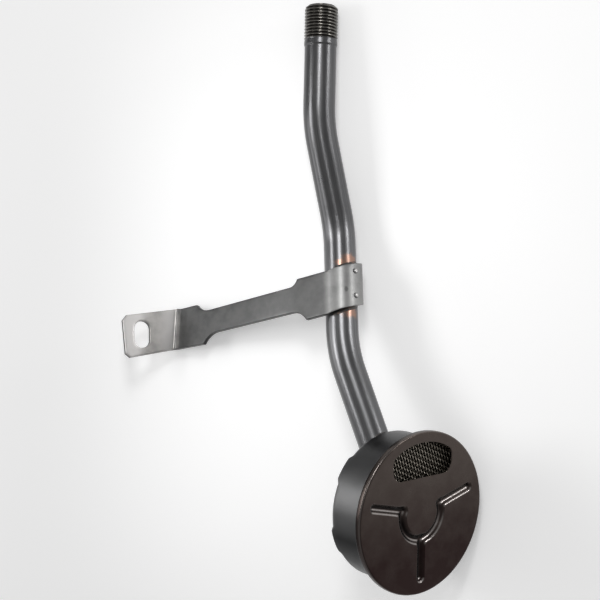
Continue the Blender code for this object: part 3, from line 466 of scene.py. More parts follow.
# Points on the strap's faces, as (from, to, step): past the tab's bend, along the bend, along the arm,
# along the wrap, and across both. The arm's points end short of the tab's; each pip has its own rings
TAB_ROWS = ((-0.008, -0.0025, 0.0008), (-0.0022, 0.0024, 0.0003), (0.0028, 0.034, 0.0009))
TAB_COLUMNS = (-0.020, 0.022, 0.0009)
ARM_ROWS = (-0.0915, 0.0, 0.0010)
WRAP_ROWS = (0.0, 0.021, 0.0005)
STRAP_COLUMNS = (-0.0145, 0.0185, 0.0010)
ARM_LIMIT = -0.0085
EDGE_CLEAR = 0.0003
OUTLINE_STEP = 0.0006
SLOT_STEP = 0.0005
PIP_SIDES = 24
PIP_RINGS = (0.25, 0.5, 0.7, 0.85, 0.94, 1.0, 1.12, 1.35)
PIP_CLEAR = 1.6
FAR_FROM_PIPS = 9.0
SHOULDER_STEPS = 14
SLOT_END_STEPS = 30
STRAP_DARK = (0.094, 0.094, 0.094, 1.0)
STRAP_LIGHT = (0.122, 0.122, 0.121, 1.0)
SADDLE_DARK = (0.062, 0.062, 0.062, 1.0)
SADDLE_LIGHT = (0.080, 0.080, 0.079, 1.0)
STRAP_DARKEST = (0.030, 0.030, 0.030, 1.0)
WRAP_DARK = (0.25, 0.25, 0.247, 1.0)
WRAP_LIGHT = (0.32, 0.32, 0.315, 1.0)
# The tab's tones are painted light: far lighter than the rest of the strip, for the light it catches
LIT_TAB_DARK = (0.33, 0.32, 0.31, 1.0)
LIT_TAB_LIGHT = (0.45, 0.435, 0.42, 1.0)
TAB_HIGHLIGHT = (0.62, 0.605, 0.595, 1.0)
PIP_HIGHLIGHT = (0.60, 0.59, 0.58, 1.0)
# Places along the flat pattern: the strip darkens towards the saddle, turns there into the lighter wrap,
# which is matt up to the third pair, and has a stain (middle x, y, half width, half length, ragged edge)
SADDLE_FADE = (-0.034, -0.014)
WRAP_FADE = (-0.0036, 0.0050)
WRAP_MATT = (0.0036, 0.0062)
WRAP_STAIN = (0.0083, 0.0012, 0.0011, 0.0015, 0.3)
# Distances past the tab's bend: a scored line, a scuffed band before it and a faint dark band before that
BEND_SCORE = (-0.0004, 0.0000, 0.0004)
BEND_SCUFF = (-0.0040, -0.0030)
BEND_DARK = (-0.0085, -0.0070)
# Painted highlight: the tab is brightest just past its bend and again towards its end
TAB_HIGHLIGHT_ROOT = (0.0008, 0.0026, 0.0030, 0.0125)
TAB_HIGHLIGHT_END = (0.0150, 0.0215)
# Depths from the back between which the cut edge gets painted shade; a ring of painted shade round each pip
# and a painted highlight on its crown, in pip radii; how much smoother the crown is
CUT_EDGE_SHADE = (0.0003, 0.0006, 0.0020, 0.0025)
PIP_SHADE_RING = (0.75, 0.95, 1.05, 1.30)
PIP_CROWN = (0.60, 0.80)
PIP_POLISH = 0.20
# Fine grain drawn out along the strip, and large clouds: scale of each pattern
STRAP_GRAIN = 2600.0
STRAP_CLOUDS = 160.0
STRAP_ROUGHNESS = (0.32, 0.37)
WRAP_ROUGHER = (0.22, 0.08)
STRAP_MIDDLE_RADIUS = TUBE_RADIUS + FIT_GAP + STRAP_THICKNESS / 2
WRAP_LENGTH = STRAP_MIDDLE_RADIUS * math.radians(STRAP_WRAP)


def strap_axes():
    """Rows right, up, out and origin of the flat strap: up along the tube, out of its front face."""
    up = -RUN_DIRECTIONS[2]
    front = unit(np.array((0.0, 0.0, 1.0)) - up[2] * up)
    start = math.radians(STRAP_START)
    out = front * math.cos(start) + np.cross(up, front) * math.sin(start)
    return np.array((np.cross(up, out), up, out)), CORNERS[3] + up * STRAP_STATION


def bend_axes():
    """Middle of the tab's bend line in the flat pattern, the line's direction down, and away from the
    tube: a skew s gives (-sin s, -cos s) and (-cos s, sin s)."""
    skew = math.radians(TAB_BEND_SKEW)
    return (np.array((-STRAP_REACH, 0.0)), np.array((-math.sin(skew), -math.cos(skew))),
            np.array((-math.cos(skew), math.sin(skew))))


def shape_strap(flat):
    """Flat pattern (x, y, depth z from the back) to the bent strap, in the strap's frame. Past the bend's
    start the sheet turns about an axis in front of it, up to the bend's angle, and then runs straight on;
    past x = 0 it runs round the tube: (r sin t, y, r cos t) with r = tube + z and t = x / middle radius."""
    middle, downward, away = bend_axes()
    x, y, z = flat[:, 0], flat[:, 1], flat[:, 2]
    past, down = (flat[:, :2] - middle) @ away, (flat[:, :2] - middle) @ downward
    sheet, angle = TAB_BEND_RADIUS + STRAP_THICKNESS / 2, math.radians(TAB_BEND)
    start = -sheet * angle / 2
    turned = np.clip((past - start) / sheet, 0.0, angle)
    beyond = np.maximum(0.0, past - start - sheet * angle)
    height = STRAP_THICKNESS + TAB_BEND_RADIUS
    arm = height - z
    bent = start + arm * np.sin(turned) + beyond * np.cos(turned)
    lifted = height - arm * np.cos(turned) + beyond * np.sin(turned)
    tab = past > start
    place = middle + np.where(tab, bent, past)[:, None] * away + down[:, None] * downward
    x, y, z = place[:, 0], place[:, 1], np.where(tab, lifted, z)
    wrapped = x > 0
    turn = np.where(wrapped, x, 0.0) / STRAP_MIDDLE_RADIUS
    radius = TUBE_RADIUS + FIT_GAP + z
    return np.stack([np.where(wrapped, radius * np.sin(turn), x), y, radius * np.cos(turn)], axis=-1)


def wrap_edge(along, sign):
    """Straight line from the saddle's edge at the tangent line to the wrap end's corner."""
    start = WRAP_LIFT + sign * SADDLE_WIDTH / 2
    end = WRAP_LIFT + WRAP_LENGTH * math.tan(math.radians(WRAP_RISE)) + sign * WRAP_END_WIDTH / 2
    return start + (end - start) * along / WRAP_LENGTH


def shoulder(corner, height, radius, toward):
    """Hollow arc from a sharp corner of a wide part to the narrow edge at a height, tangent to that edge."""
    side = 1 if corner[1] > height else -1
    sweep = math.acos(1 - abs(corner[1] - height) / radius)
    foot = corner[0] + toward * radius * math.sin(sweep)
    turns = np.linspace(sweep, 0.0, SHOULDER_STEPS)
    return np.stack([foot - toward * radius * np.sin(turns), height + side * radius * (1 - np.cos(turns))], 1)


def strap_outline():
    """Counter-clockwise outline of the flat pattern from the tab's bend, and the slot's outline."""
    saddle, root = SADDLE_WIDTH / 2, ROOT_WIDTH / 2
    middle, downward, _ = bend_axes()
    half_bend = downward * (root / -downward[1])
    upper_bend, lower_bend = middle - half_bend, middle + half_bend
    slope, end_slope = math.radians(TAB_SLOPE), math.radians(TAB_END_SLOPE)
    outward = np.array((-math.cos(slope), -math.sin(slope)))
    tab_end = middle + outward * TAB_LENGTH
    upward = np.array((-math.sin(end_slope), math.cos(end_slope)))
    upper, lower = tab_end + upward * TAB_WIDTH / 2, tab_end - upward * TAB_WIDTH / 2
    tops = [m + w / 2 for m, w in zip(NARROW_MIDDLES, NARROW_WIDTHS)]
    bottoms = [m - w / 2 for m, w in zip(NARROW_MIDDLES, NARROW_WIDTHS)]
    outline = np.vstack([
        upper_bend, upper + unit(upper_bend - upper) * TAB_CORNER, upper - upward * TAB_CORNER,
        lower + upward * TAB_CORNER, lower + unit(lower_bend - lower) * TAB_CORNER, lower_bend,
        shoulder((-ROOT_ENDS[1], -root - ROOT_DROP), bottoms[1], SHOULDER_RADIUS, 1),
        shoulder((-SADDLE_ENDS[1], -saddle), bottoms[0], SHOULDER_RADIUS, -1)[::-1],
        (0.0, wrap_edge(0.0, -1)), (WRAP_LENGTH, wrap_edge(WRAP_LENGTH, -1)),
        (WRAP_LENGTH, wrap_edge(WRAP_LENGTH, 1)), (0.0, wrap_edge(0.0, 1)),
        shoulder((-SADDLE_ENDS[0], saddle), tops[0], SADDLE_TOP_RADIUS, -1),
        shoulder((-ROOT_ENDS[0], root - ROOT_DROP), tops[1], SHOULDER_RADIUS, 1)[::-1],
        (upper_bend[0] + ROOT_EAR, root - ROOT_DROP)])
    centre = middle + outward * SLOT_FROM_BEND
    half = (SLOT_LENGTH - SLOT_WIDTH) / 2
    turns = np.concatenate([np.linspace(0, math.pi, SLOT_END_STEPS),
                            np.linspace(math.pi, 2 * math.pi, SLOT_END_STEPS)])
    rise = np.repeat((half, -half), SLOT_END_STEPS)
    slot = centre + np.stack([SLOT_WIDTH / 2 * np.cos(turns), SLOT_WIDTH / 2 * np.sin(turns) + rise], axis=1)
    return outline, slot


def even_loop(loop, spacing):
    """Closed loop with extra points on its long sides, none further apart than the spacing."""
    parts = []
    for a, b in zip(loop, np.roll(loop, -1, axis=0)):
        count = max(1, math.ceil(np.linalg.norm(b - a) / spacing))
        parts.append(a + (b - a) * np.linspace(0, 1, count, endpoint=False)[:, None])
    return np.vstack(parts)


def inset_loop(loop, distance):
    """Loop moved to its left by a distance along the mean normal of its two sides at each point."""
    before = unit(loop - np.roll(loop, 1, axis=0))
    after = unit(np.roll(loop, -1, axis=0) - loop)
    normal = unit(np.stack([-before[:, 1] - after[:, 1], before[:, 0] + after[:, 0]], axis=1))
    lean = np.maximum(0.6, np.sum(normal * np.stack([-before[:, 1], before[:, 0]], axis=1), axis=1))
    return loop + normal * (distance / lean)[:, None]


def loop_distance(points, loop):
    """Distance of every point from the nearest side of a closed loop."""
    best = np.full(len(points), 1e9)
    for a, b in zip(loop, np.roll(loop, -1, axis=0)):
        along = np.clip((points - a) @ (b - a) / max(1e-18, (b - a) @ (b - a)), 0.0, 1.0)
        best = np.minimum(best, np.linalg.norm(points - a - along[:, None] * (b - a), axis=1))
    return best


def inside_loop(points, loop):
    """Even number of crossings of the loop to the right of a point: outside; odd: inside."""
    a, b = loop, np.roll(loop, -1, axis=0)
    x, y = points[:, :1], points[:, 1:]
    spans = (a[:, 1] > y) != (b[:, 1] > y)
    rise = np.where(b[:, 1] == a[:, 1], 1e-12, b[:, 1] - a[:, 1])
    crossing = a[:, 0] + (y - a[:, 1]) * (b[:, 0] - a[:, 0]) / rise
    return np.sum(spans & (x < crossing), axis=1) % 2 == 1


def fill_flat(loops, loose, hole=None):
    """Triangles over the flat region inside the first loop, through all loops and loose points."""
    places, edges, start = np.vstack([*loops, loose]), [], 0
    for loop in loops:
        k = np.arange(len(loop)) + start
        edges += np.stack([k, np.roll(k, -1)], axis=1).tolist()
        start += len(loop)
    flat, _, faces, _, _, _ = delaunay_2d_cdt([Vector(p) for p in places.tolist()], edges, [], 1, 1e-8)
    flat, faces = np.array([v[:] for v in flat]), np.array(faces)
    if hole is not None:
        faces = faces[~inside_loop(flat[faces].mean(axis=1), hole)]
    return flat, faces


def rolled_rim(loop, sign, thickness, edge, steps=5):
    """Rings of (x, y, z) round a loop from the back face to the front: quarter rounds of the edge radius
    inset by e (1 - cos a) at the two faces, and a straight wall between."""
    turns = np.linspace(0, math.pi / 2, steps)
    back = [(edge * (1 - math.cos(t)), edge - edge * math.sin(t)) for t in turns[::-1]]
    front = [(edge * (1 - math.cos(t)), thickness - edge + edge * math.sin(t)) for t in turns]
    rings = []
    for inset, height in back + front:
        ring = inset_loop(loop, sign * inset)
        rings.append(np.column_stack([ring, np.full(len(ring), height)]))
    return np.array(rings)


def sheet(flat, faces, front, back, rims):
    """Points and faces of a pressed sheet: the same flat points at the front's and the back's heights,
    with the triangles of the back turned over, and the rings of each rim."""
    points = [np.column_stack([flat, front]), np.column_stack([flat, back])]
    start, quads = 2 * len(flat), []
    for rim in rims:
        quads.append(grid_quads(*rim.shape[:2], start))
        points.append(rim.reshape(-1, 3))
        start += len(points[-1])
    return np.vstack(points), [faces, faces[:, ::-1] + len(flat), np.vstack(quads)]


def make_strap(material):
    """Front and back faces over the same flat points, pips domed as h sqrt(1 - (d / r)^2) on the front,
    joined by rounded rims along the outline and the slot; then bent to shape."""
    outline, slot = strap_outline()
    outline, slot = even_loop(outline, OUTLINE_STEP), even_loop(slot, SLOT_STEP)
    middle, downward, away = bend_axes()
    past, down = np.concatenate([np.arange(*rows) for rows in TAB_ROWS]), np.arange(*TAB_COLUMNS)
    near_tab = middle + past[:, None, None] * away + down[None, :, None] * downward
    x, y = np.meshgrid(np.concatenate([np.arange(*ARM_ROWS), np.arange(*WRAP_ROWS)]),
                       np.arange(*STRAP_COLUMNS))
    rest = np.stack([x.ravel(), y.ravel()], axis=1)
    rest = rest[(rest - middle) @ away < ARM_LIMIT]
    along = STRAP_MIDDLE_RADIUS * math.radians(PIP_TURN)
    pips = np.array([(along, h + (wrap_edge(along, 1) + wrap_edge(along, -1)) / 2) for h in PIP_PLACES])
    loose = np.vstack([near_tab.reshape(-1, 2), rest])
    from_pips = np.min(np.linalg.norm(loose[:, None] - pips[None], axis=2), axis=1)
    loose = loose[from_pips > PIP_CLEAR * PIP_RADIUS]
    rings = PIP_RADIUS * np.array(PIP_RINGS)[:, None, None] * round_points(PIP_SIDES)[None]
    loose = np.vstack([loose, pips, (pips[:, None, None] + rings[None]).reshape(-1, 2)])
    loose = loose[inside_loop(loose, outline) & ~inside_loop(loose, slot)]
    from_edge = np.minimum(loop_distance(loose, outline), loop_distance(loose, slot))
    loose = loose[from_edge > STRAP_EDGE + EDGE_CLEAR]
    outer_rim = rolled_rim(outline, 1, STRAP_THICKNESS, STRAP_EDGE)
    slot_rim = rolled_rim(slot, -1, STRAP_THICKNESS, STRAP_EDGE)
    flat, faces = fill_flat([outer_rim[-1][:, :2], slot_rim[-1][:, :2]], loose, slot_rim[-1][:, :2])
    near_pip = np.min(np.linalg.norm(flat[:, None] - pips[None], axis=2), axis=1) / PIP_RADIUS
    dome = PIP_HEIGHT * np.sqrt(np.clip(1 - near_pip ** 2, 0.0, 1.0))
    points, skins = sheet(flat, faces, STRAP_THICKNESS + dome, 0 * dome, (outer_rim, slot_rim))
    axes, origin = strap_axes()
    shaped = lay_down(shape_strap(points) @ axes + origin)
    from_pip = np.full((len(points), 3), FAR_FROM_PIPS)
    from_pip[:len(flat), 0] = near_pip
    return new_piece("strap", shaped, skins, material, weld=2e-7,
                     fields={"flat": points, "from_pip": from_pip})


def strap_finish():
    """Matt grey pressed steel, darker towards the saddle and lighter on the wrap; painted light on the tab,
    brightest past its bend and towards its end; painted shade on the cut edges, a scored bend, a ring of
    painted shade round each pip with a painted highlight on its crown, and a stain on the wrap.
    Past the bend = (flat pattern - the bend's middle) dot its away direction."""
    s = Shader("strap_steel")
    flat = s.place("flat")
    parts = s.parts(flat)
    grain = s.noise(s.scaled(flat, (0.25, 1.0, 1.0)), STRAP_GRAIN, 3.0, 0.6)
    clouds = s.noise(flat, STRAP_CLOUDS, 5.0, 0.6)
    tone = s.shade(clouds)
    middle, _, away = bend_axes()
    dot = s.add("ShaderNodeVectorMath", {"operation": "DOT_PRODUCT"}, i0=flat, i1=(*away, 0.0))
    past = s.math("SUBTRACT", dot.outputs["Value"], float(middle @ away))
    grey = s.mix(s.span(parts["X"], *SADDLE_FADE), s.mix(tone, STRAP_DARK, STRAP_LIGHT),
                 s.mix(tone, SADDLE_DARK, SADDLE_LIGHT))
    wrap = s.span(parts["X"], *WRAP_FADE)
    colour = s.mix(wrap, grey, s.mix(tone, WRAP_DARK, WRAP_LIGHT))
    colour = s.mix(s.band(past, *BEND_DARK, *BEND_SCUFF, peak=0.10), colour, STRAP_DARKEST)
    scuff = s.math("MULTIPLY", s.span(past, *BEND_SCUFF), s.shade(clouds, 0.2, 0.5))
    colour = s.mix(scuff, colour, LIT_TAB_DARK)
    # Painted light on the tab, with painted highlights past its bend and towards its end
    tab_highlight = s.most(s.band(past, *TAB_HIGHLIGHT_ROOT), s.span(past, *TAB_HIGHLIGHT_END))
    tab = s.mix(tab_highlight, s.mix(tone, LIT_TAB_DARK, LIT_TAB_LIGHT), TAB_HIGHLIGHT)
    first, full, last = BEND_SCORE
    colour = s.mix(s.span(past, first, last), colour, tab)
    colour = s.mix(s.band(past, first, full, full, last, peak=0.75), colour, STRAP_DARK)
    x, y, half_width, half_length, ragged = WRAP_STAIN
    offset = s.away_from(flat, (x, y, STRAP_THICKNESS), (half_width, half_length, math.inf))
    stain = s.span(s.math("ADD", offset, s.shade(clouds, -ragged, ragged)), 0.6, 1.2, 0.7, 0.0)
    # A stain, and a ring of painted shade round each pip
    around = s.parts(s.place("from_pip"))["X"]
    colour = s.mix(s.most(stain, s.band(around, *PIP_SHADE_RING, peak=0.7)), colour, STRAP_DARK)
    # Painted highlight on each pip's crown, which is also smoother
    crown = s.span(around, *PIP_CROWN, 1.0, 0.0)
    colour = s.mix(crown, colour, PIP_HIGHLIGHT)
    # Painted shade on the cut edges
    colour = s.mix(s.band(parts["Z"], *CUT_EDGE_SHADE, peak=0.9), colour, STRAP_DARKEST)
    s.bump(grain, 0.00002, 0.35)
    matt = s.math("MULTIPLY", wrap, s.span(parts["X"], *WRAP_MATT, *WRAP_ROUGHER))
    rough = s.math("ADD", matt, s.shade(grain, *STRAP_ROUGHNESS))
    return s.finish(colour, s.math("SUBTRACT", rough, s.math("MULTIPLY", crown, PIP_POLISH)))


strap = make_strap(strap_finish())
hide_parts("bracket_strap")
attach(strap, "root")


# Strap brazes: copper drawn into the joint along both edges of the wrap, left as two thin fillets.

BRAZE_LEG = 0.0011
BRAZE_TURNS = (7.5, 109.0)
BRAZE_RINGS = 60
FILLET_STEPS = 6
BRAZE_STEEL = (0.10, 0.095, 0.09, 1.0)
BRAZE_COPPER = (0.36, 0.205, 0.145, 1.0)
# Bounds of the noise between which the braze turns from grey to copper: the higher, the more is grey
STRAP_BRAZE_GREY = (0.50, 0.75)
TUBE_BRAZE_GREY = (0.56, 0.86)
BRAZE_PATCHES = 420.0
BRAZE_GRAIN = 2200.0
BRAZE_ROUGHNESS = (0.38, 0.5)


def braze_fillet(sign):
    """Three-sided hollow fillet along one edge: rings over the turn round the tube, in the strap's frame.
    Its leg is shortened at both ends by sqrt(1 - u^8), u from -1 to 1 along it."""
    turns = np.radians(np.linspace(*BRAZE_TURNS, BRAZE_RINGS))
    ends = np.sqrt(np.clip(1 - (2 * (turns - turns[0]) / (turns[-1] - turns[0]) - 1) ** 8, 0.02, 1.0))
    edge = wrap_edge(STRAP_MIDDLE_RADIUS * turns, sign) + sign * FIT_GAP
    curve = np.radians(np.linspace(0, 90, FILLET_STEPS))
    heights = np.concatenate([[0.0], 1 - np.sin(curve)])
    lifts = np.concatenate([[0.0], 1 - np.cos(curve)])
    leg = BRAZE_LEG * ends[:, None]
    height = edge[:, None] + sign * leg * heights[None, :]
    radius = TUBE_RADIUS + FIT_GAP + leg * lifts[None, :]
    return np.stack([radius * np.sin(turns)[:, None], height, radius * np.cos(turns)[:, None]], axis=-1)


def end_caps(count, sides):
    """The first and the last ring of a bar's grid as one face each."""
    last = (count - 1) * sides
    return np.array([np.arange(sides), np.arange(last, last + sides)[::-1]])


def capped_bar(name, rings, material, fields=None):
    """A bar skinned over rings of points, closed by one flat face at each end."""
    count, sides, _ = rings.shape
    return new_piece(name, rings.reshape(-1, 3), [grid_quads(count, sides), end_caps(count, sides)],
                     material, fields=fields)


def braze_finish(name, grey):
    """Dull copper that fades to steel grey between two bounds."""
    s = Shader(name)
    place = s.place()
    colour = s.mix(s.span(s.noise(place, BRAZE_PATCHES, 4.0), *grey), BRAZE_STEEL, BRAZE_COPPER)
    return s.finish(colour, s.shade(s.noise(place, BRAZE_GRAIN, 2.0), *BRAZE_ROUGHNESS))


copper = braze_finish("strap_braze", STRAP_BRAZE_GREY)
for label, sign in (("strap_braze_upper", 1), ("strap_braze_lower", -1)):
    axes, origin = strap_axes()
    braze = capped_bar(label + "_fillet", lay_down(braze_fillet(sign) @ axes + origin), copper)
    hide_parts(label)
    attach(braze, "root")


# Screen can: one cup deep-drawn from sheet, with a closed back that the tube enters. The corner of its
# back is pressed out sharp in four lobes, and its mouth has a narrow flange inside the cover's rim.

CAN_RADIUS = 0.0353
CAN_WALL = 0.0007
CAN_BACK_RADIUS = 0.0034
CAN_LOBE_RADIUS = 0.0010
CAN_FLANGE_CORNER = 0.0008
CAN_LOBES = (52.5, 111.5)
CAN_LOBE_SPAN = 21.5
CAN_LOBE_FLANK = 5.0
COVER_RADIUS = 0.0392
COVER_WALL = 0.0006
# The wire cloth's edge, pressed flat to this between the cover and the flange
CLOTH_FLAT = 0.0004
FLANGE_RADIUS = COVER_RADIUS - COVER_WALL - FIT_GAP
SCREEN_TOP = -COVER_WALL - FIT_GAP
FLANGE_FRONT = SCREEN_TOP - CLOTH_FLAT - FIT_GAP
CAN_FOOT_SHADE = (0.010, 0.010, 0.011, 1.0)
CAN_MIDDLE = (0.050, 0.050, 0.051, 1.0)
CAN_FLANK_HIGHLIGHT = (0.120, 0.120, 0.121, 1.0)
# Painted shade at the wall's foot and a painted highlight on one side: bounds towards the tube, and across
CAN_SHADE_SPAN = (-0.0115, -0.001)
CAN_HIGHLIGHT_SPAN = (0.021, 0.0345)
CAN_CLOUDS = 120.0
CAN_GRAIN = 900.0
CAN_MOTTLE = 0.12
CAN_ROUGHNESS = (0.32, 0.40)
# Ends of the rod that cuts the tube's hole, along the tube from where it enters
ROD_ENDS = (-0.045, 0.012)


def arc(centre_x, centre_y, radius, start, end, steps):
    """Points (x + r cos a, y + r sin a) from one angle to another in degrees, both ends included."""
    a = np.radians(np.linspace(start, end, steps + 1))
    return np.stack([centre_x + radius * np.cos(a), centre_y + radius * np.sin(a)], axis=1)


def back_corner(angle):
    """Outer radius of the back's corner: small in the lobes, plain elsewhere, with short flanks."""
    turned = np.abs((angle + 180.0) % 360.0 - 180.0)
    lobe = np.max([smooth((CAN_LOBE_SPAN / 2 - np.abs(turned - middle)) / CAN_LOBE_FLANK + 0.5)
                   for middle in CAN_LOBES], axis=0)
    return CAN_BACK_RADIUS + (CAN_LOBE_RADIUS - CAN_BACK_RADIUS) * lobe


def tube_ring(direction):
    """Circle one fit gap outside the tube, square to a direction along it: r (side cos a + other sin a)."""
    side = unit(np.cross(direction, (0.0, 0.0, 1.0)))
    other = np.cross(direction, side)
    a = round_points(TUBE_SIDES)
    return (TUBE_RADIUS + FIT_GAP) * (a[:, :1] * side + a[:, 1:] * other)


def can_profile(corner):
    """Half section (radius, height) from the middle of the back out, round the flange and back inside."""
    flange_back = FLANGE_FRONT - CAN_WALL
    inside, back_inside = CAN_RADIUS - CAN_WALL, -CAN_DEPTH + CAN_WALL
    fillet, inner_fillet = CAN_FLANGE_CORNER, CAN_FLANGE_CORNER + CAN_WALL
    inner_corner = max(corner - CAN_WALL, CAN_WALL / 2)
    flat = CAN_RADIUS - CAN_BACK_RADIUS - CAN_WALL
    radii = np.array((0.02, 0.25, 0.5, 0.75, 1.0)) * flat
    side = np.linspace(-CAN_DEPTH + CAN_BACK_RADIUS + 0.001, flange_back - fillet - 0.001, 9)
    return np.vstack([
        np.column_stack([radii, np.full(len(radii), -CAN_DEPTH)]),
        arc(CAN_RADIUS - corner, -CAN_DEPTH + corner, corner, -90, 0, 10),
        np.column_stack([np.full(len(side), CAN_RADIUS), side]),
        arc(CAN_RADIUS + fillet, flange_back - fillet, fillet, 180, 90, 5),
        ((FLANGE_RADIUS, flange_back), (FLANGE_RADIUS, FLANGE_FRONT)),
        arc(inside + inner_fillet, FLANGE_FRONT - inner_fillet, inner_fillet, 90, 180, 6),
        arc(inside - inner_corner, back_inside + inner_corner, inner_corner, 0, -90, 6),
        np.column_stack([radii[::-1], np.full(len(radii), back_inside)])])


def make_can(material):
    """The half section of each whole degree set round the axis, (r cos a, r sin a, z), with the tube's
    hole cut in its back by a rod."""
    angles = np.arange(0.0, 360.0, 1.0)
    sections = np.array([can_profile(corner) for corner in back_corner(angles)])
    turn = np.radians(angles)[:, None]
    rings = np.stack([sections[..., 0] * np.cos(turn), sections[..., 0] * np.sin(turn), sections[..., 1]],
                     axis=-1)
    rings = np.swapaxes(rings, 0, 1)
    can = capped_bar("can", lay_down(from_can(rings)), material, {"round": rings})
    direction = RUN_DIRECTIONS[-1]
    ends = np.array(ROD_ENDS)[:, None, None] * direction
    rod = capped_bar("tube_rod", lay_down(CORNERS[4] + tube_ring(direction)[None] + ends), material)
    modifier = can.modifiers.new("tube_hole", "BOOLEAN")
    modifier.operation, modifier.solver, modifier.object = "DIFFERENCE", "EXACT", rod
    bpy.context.view_layer.update()
    can_now = can.evaluated_get(bpy.context.evaluated_depsgraph_get())
    cut = bpy.data.meshes.new_from_object(can_now)
    can.modifiers.remove(modifier)
    can.data = cut
    bpy.data.objects.remove(rod, do_unlink=True)
    return can


def can_finish():
    """Dark satin sheet with a faint mottle, painted shade at its foot and a painted highlight on one flank.
    """
    s = Shader("can_steel")
    place = s.place("round")
    clouds = s.noise(place, CAN_CLOUDS, 5.0, 0.6)
    parts = s.parts(place)
    # Painted shade towards the foot, painted highlight on one flank
    foot = s.span(parts["X"], *CAN_SHADE_SPAN)
    tone = s.math("ADD", foot, s.shade(clouds, -CAN_MOTTLE, CAN_MOTTLE))
    flank_highlight = s.math("MULTIPLY", s.span(parts["Y"], *CAN_HIGHLIGHT_SPAN), foot)
    colour = s.mix(flank_highlight, s.mix(tone, CAN_FOOT_SHADE, CAN_MIDDLE), CAN_FLANK_HIGHLIGHT)
    s.bump(s.noise(place, CAN_GRAIN), 0.00003, 0.4)
    return s.finish(colour, s.shade(clouds, *CAN_ROUGHNESS))


can = make_can(can_finish())
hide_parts("screen_can")
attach(can, "root")


# Tube braze: the ring of braze round the tube where it enters the can's back.

TUBE_BRAZE = 0.0017
TUBE_BRAZE_THINNING = 0.8
SETTLING_STEPS = 60


def over_back(x, y):
    """One fit gap outside the can's back over (x, y), and how far round the corner that is, 0 to 1."""
    corner = back_corner(np.degrees(np.arctan2(y, x)))
    over = np.clip(np.hypot(x, y) - (CAN_RADIUS - corner), 0.0, corner + FIT_GAP)
    height = -CAN_DEPTH + corner - np.sqrt((corner + FIT_GAP) ** 2 - over ** 2)
    return height, over / (corner + FIT_GAP)


def tube_braze_rings():
    """Foot on the tube where it meets the back, settled by steps along the tube; toe out on the back;
    a hollow curve from the toe up to the tube. The legs thin out round the back's corner."""
    direction = CAN_AXES @ RUN_DIRECTIONS[-1]
    end = CAN_AXES @ (CORNERS[4] - CAN_ORIGIN)
    foot = end + tube_ring(direction)
    for _ in range(SETTLING_STEPS):
        step = (over_back(foot[:, 0], foot[:, 1])[0] - foot[:, 2]) / direction[2]
        foot = foot + step[:, None] * direction
    along = np.roll(foot, -1, axis=0) - np.roll(foot, 1, axis=0)
    away = unit(np.stack([along[:, 1], -along[:, 0], np.zeros(len(foot))], axis=1))
    away *= np.sign(np.sum(away * (foot - end), axis=1))[:, None]
    leg = TUBE_BRAZE * (1 - TUBE_BRAZE_THINNING * over_back(foot[:, 0], foot[:, 1])[1])
    rings = [foot]
    for turn in np.radians(np.linspace(0, 90, FILLET_STEPS)):
        out, up = 1 - math.sin(turn), 1 - math.cos(turn)
        point = foot + away * (leg * out)[:, None]
        point[:, 2] = over_back(point[:, 0], point[:, 1])[0]
        rings.append(point - direction * (leg * up)[:, None])
    return np.array(rings)


rings = lay_down(from_can(tube_braze_rings().reshape(-1, 3)))
ring_braze = new_piece("tube_braze_fillet", rings,
                       [grid_quads(FILLET_STEPS + 1, TUBE_SIDES, close_rows=True)],
                       braze_finish("tube_braze", TUBE_BRAZE_GREY))
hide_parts("tube_braze")
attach(ring_braze, "root")


# Wire screen: plain woven wire cloth, its edge clamped flat in the rolled rim and its middle pushed
# back into a shallow dish, so that it stays clear of the cover's bead.

WIRE_RADIUS = 0.00025
WIRE_PITCH = 0.0015875
WEAVE_TURN = 18.0
WIRE_SIDES = 6
# Rings along a wire to one pitch of the weave
WIRE_RINGS = 4
SCREEN_DISH = 0.0040
SCREEN_SLOPE = 78.0
SCREEN_EDGE = 0.0382
# Painted light: one family of wires lit, the other shaded
LIT_WARP_COLOUR = (0.56, 0.51, 0.44, 1.0)
SHADED_WEFT_COLOUR = (0.13, 0.115, 0.095, 1.0)
WIRE_SHADE_AND_DIRT = (0.030, 0.025, 0.020, 1.0)
# Painted shade in the hollows of the weave: heights from the cloth's middle between which a wire turns
# from shaded to lit, and how much colour it keeps at the bottom
HOLLOW_SHADE = (-0.0005, 0.0002)
HOLLOW_LIT_SHARE = 0.35
WIRE_DIRT = 700.0
WIRE_ROUGHNESS = 0.42


def dish_height(radius):
    """Height of the cloth's middle: level in the rim, down a slope, then a level floor."""
    bend = CAN_FLANGE_CORNER + CAN_WALL + FIT_GAP
    centre_r, centre_z = CAN_RADIUS - CAN_WALL + bend - FIT_GAP, FLANGE_FRONT - bend + FIT_GAP
    curve = arc(centre_r, centre_z, bend, 90, 90 + SCREEN_SLOPE, 8)
    floor = SCREEN_TOP - CLOTH_FLAT - SCREEN_DISH
    run = (curve[-1, 1] - floor) / math.tan(math.radians(SCREEN_SLOPE))
    profile = np.vstack([(COVER_RADIUS, FLANGE_FRONT + FIT_GAP), curve, (curve[-1, 0] - run, floor)])
    return np.interp(radius, profile[::-1, 0], profile[::-1, 1]) + CLOTH_FLAT / 2


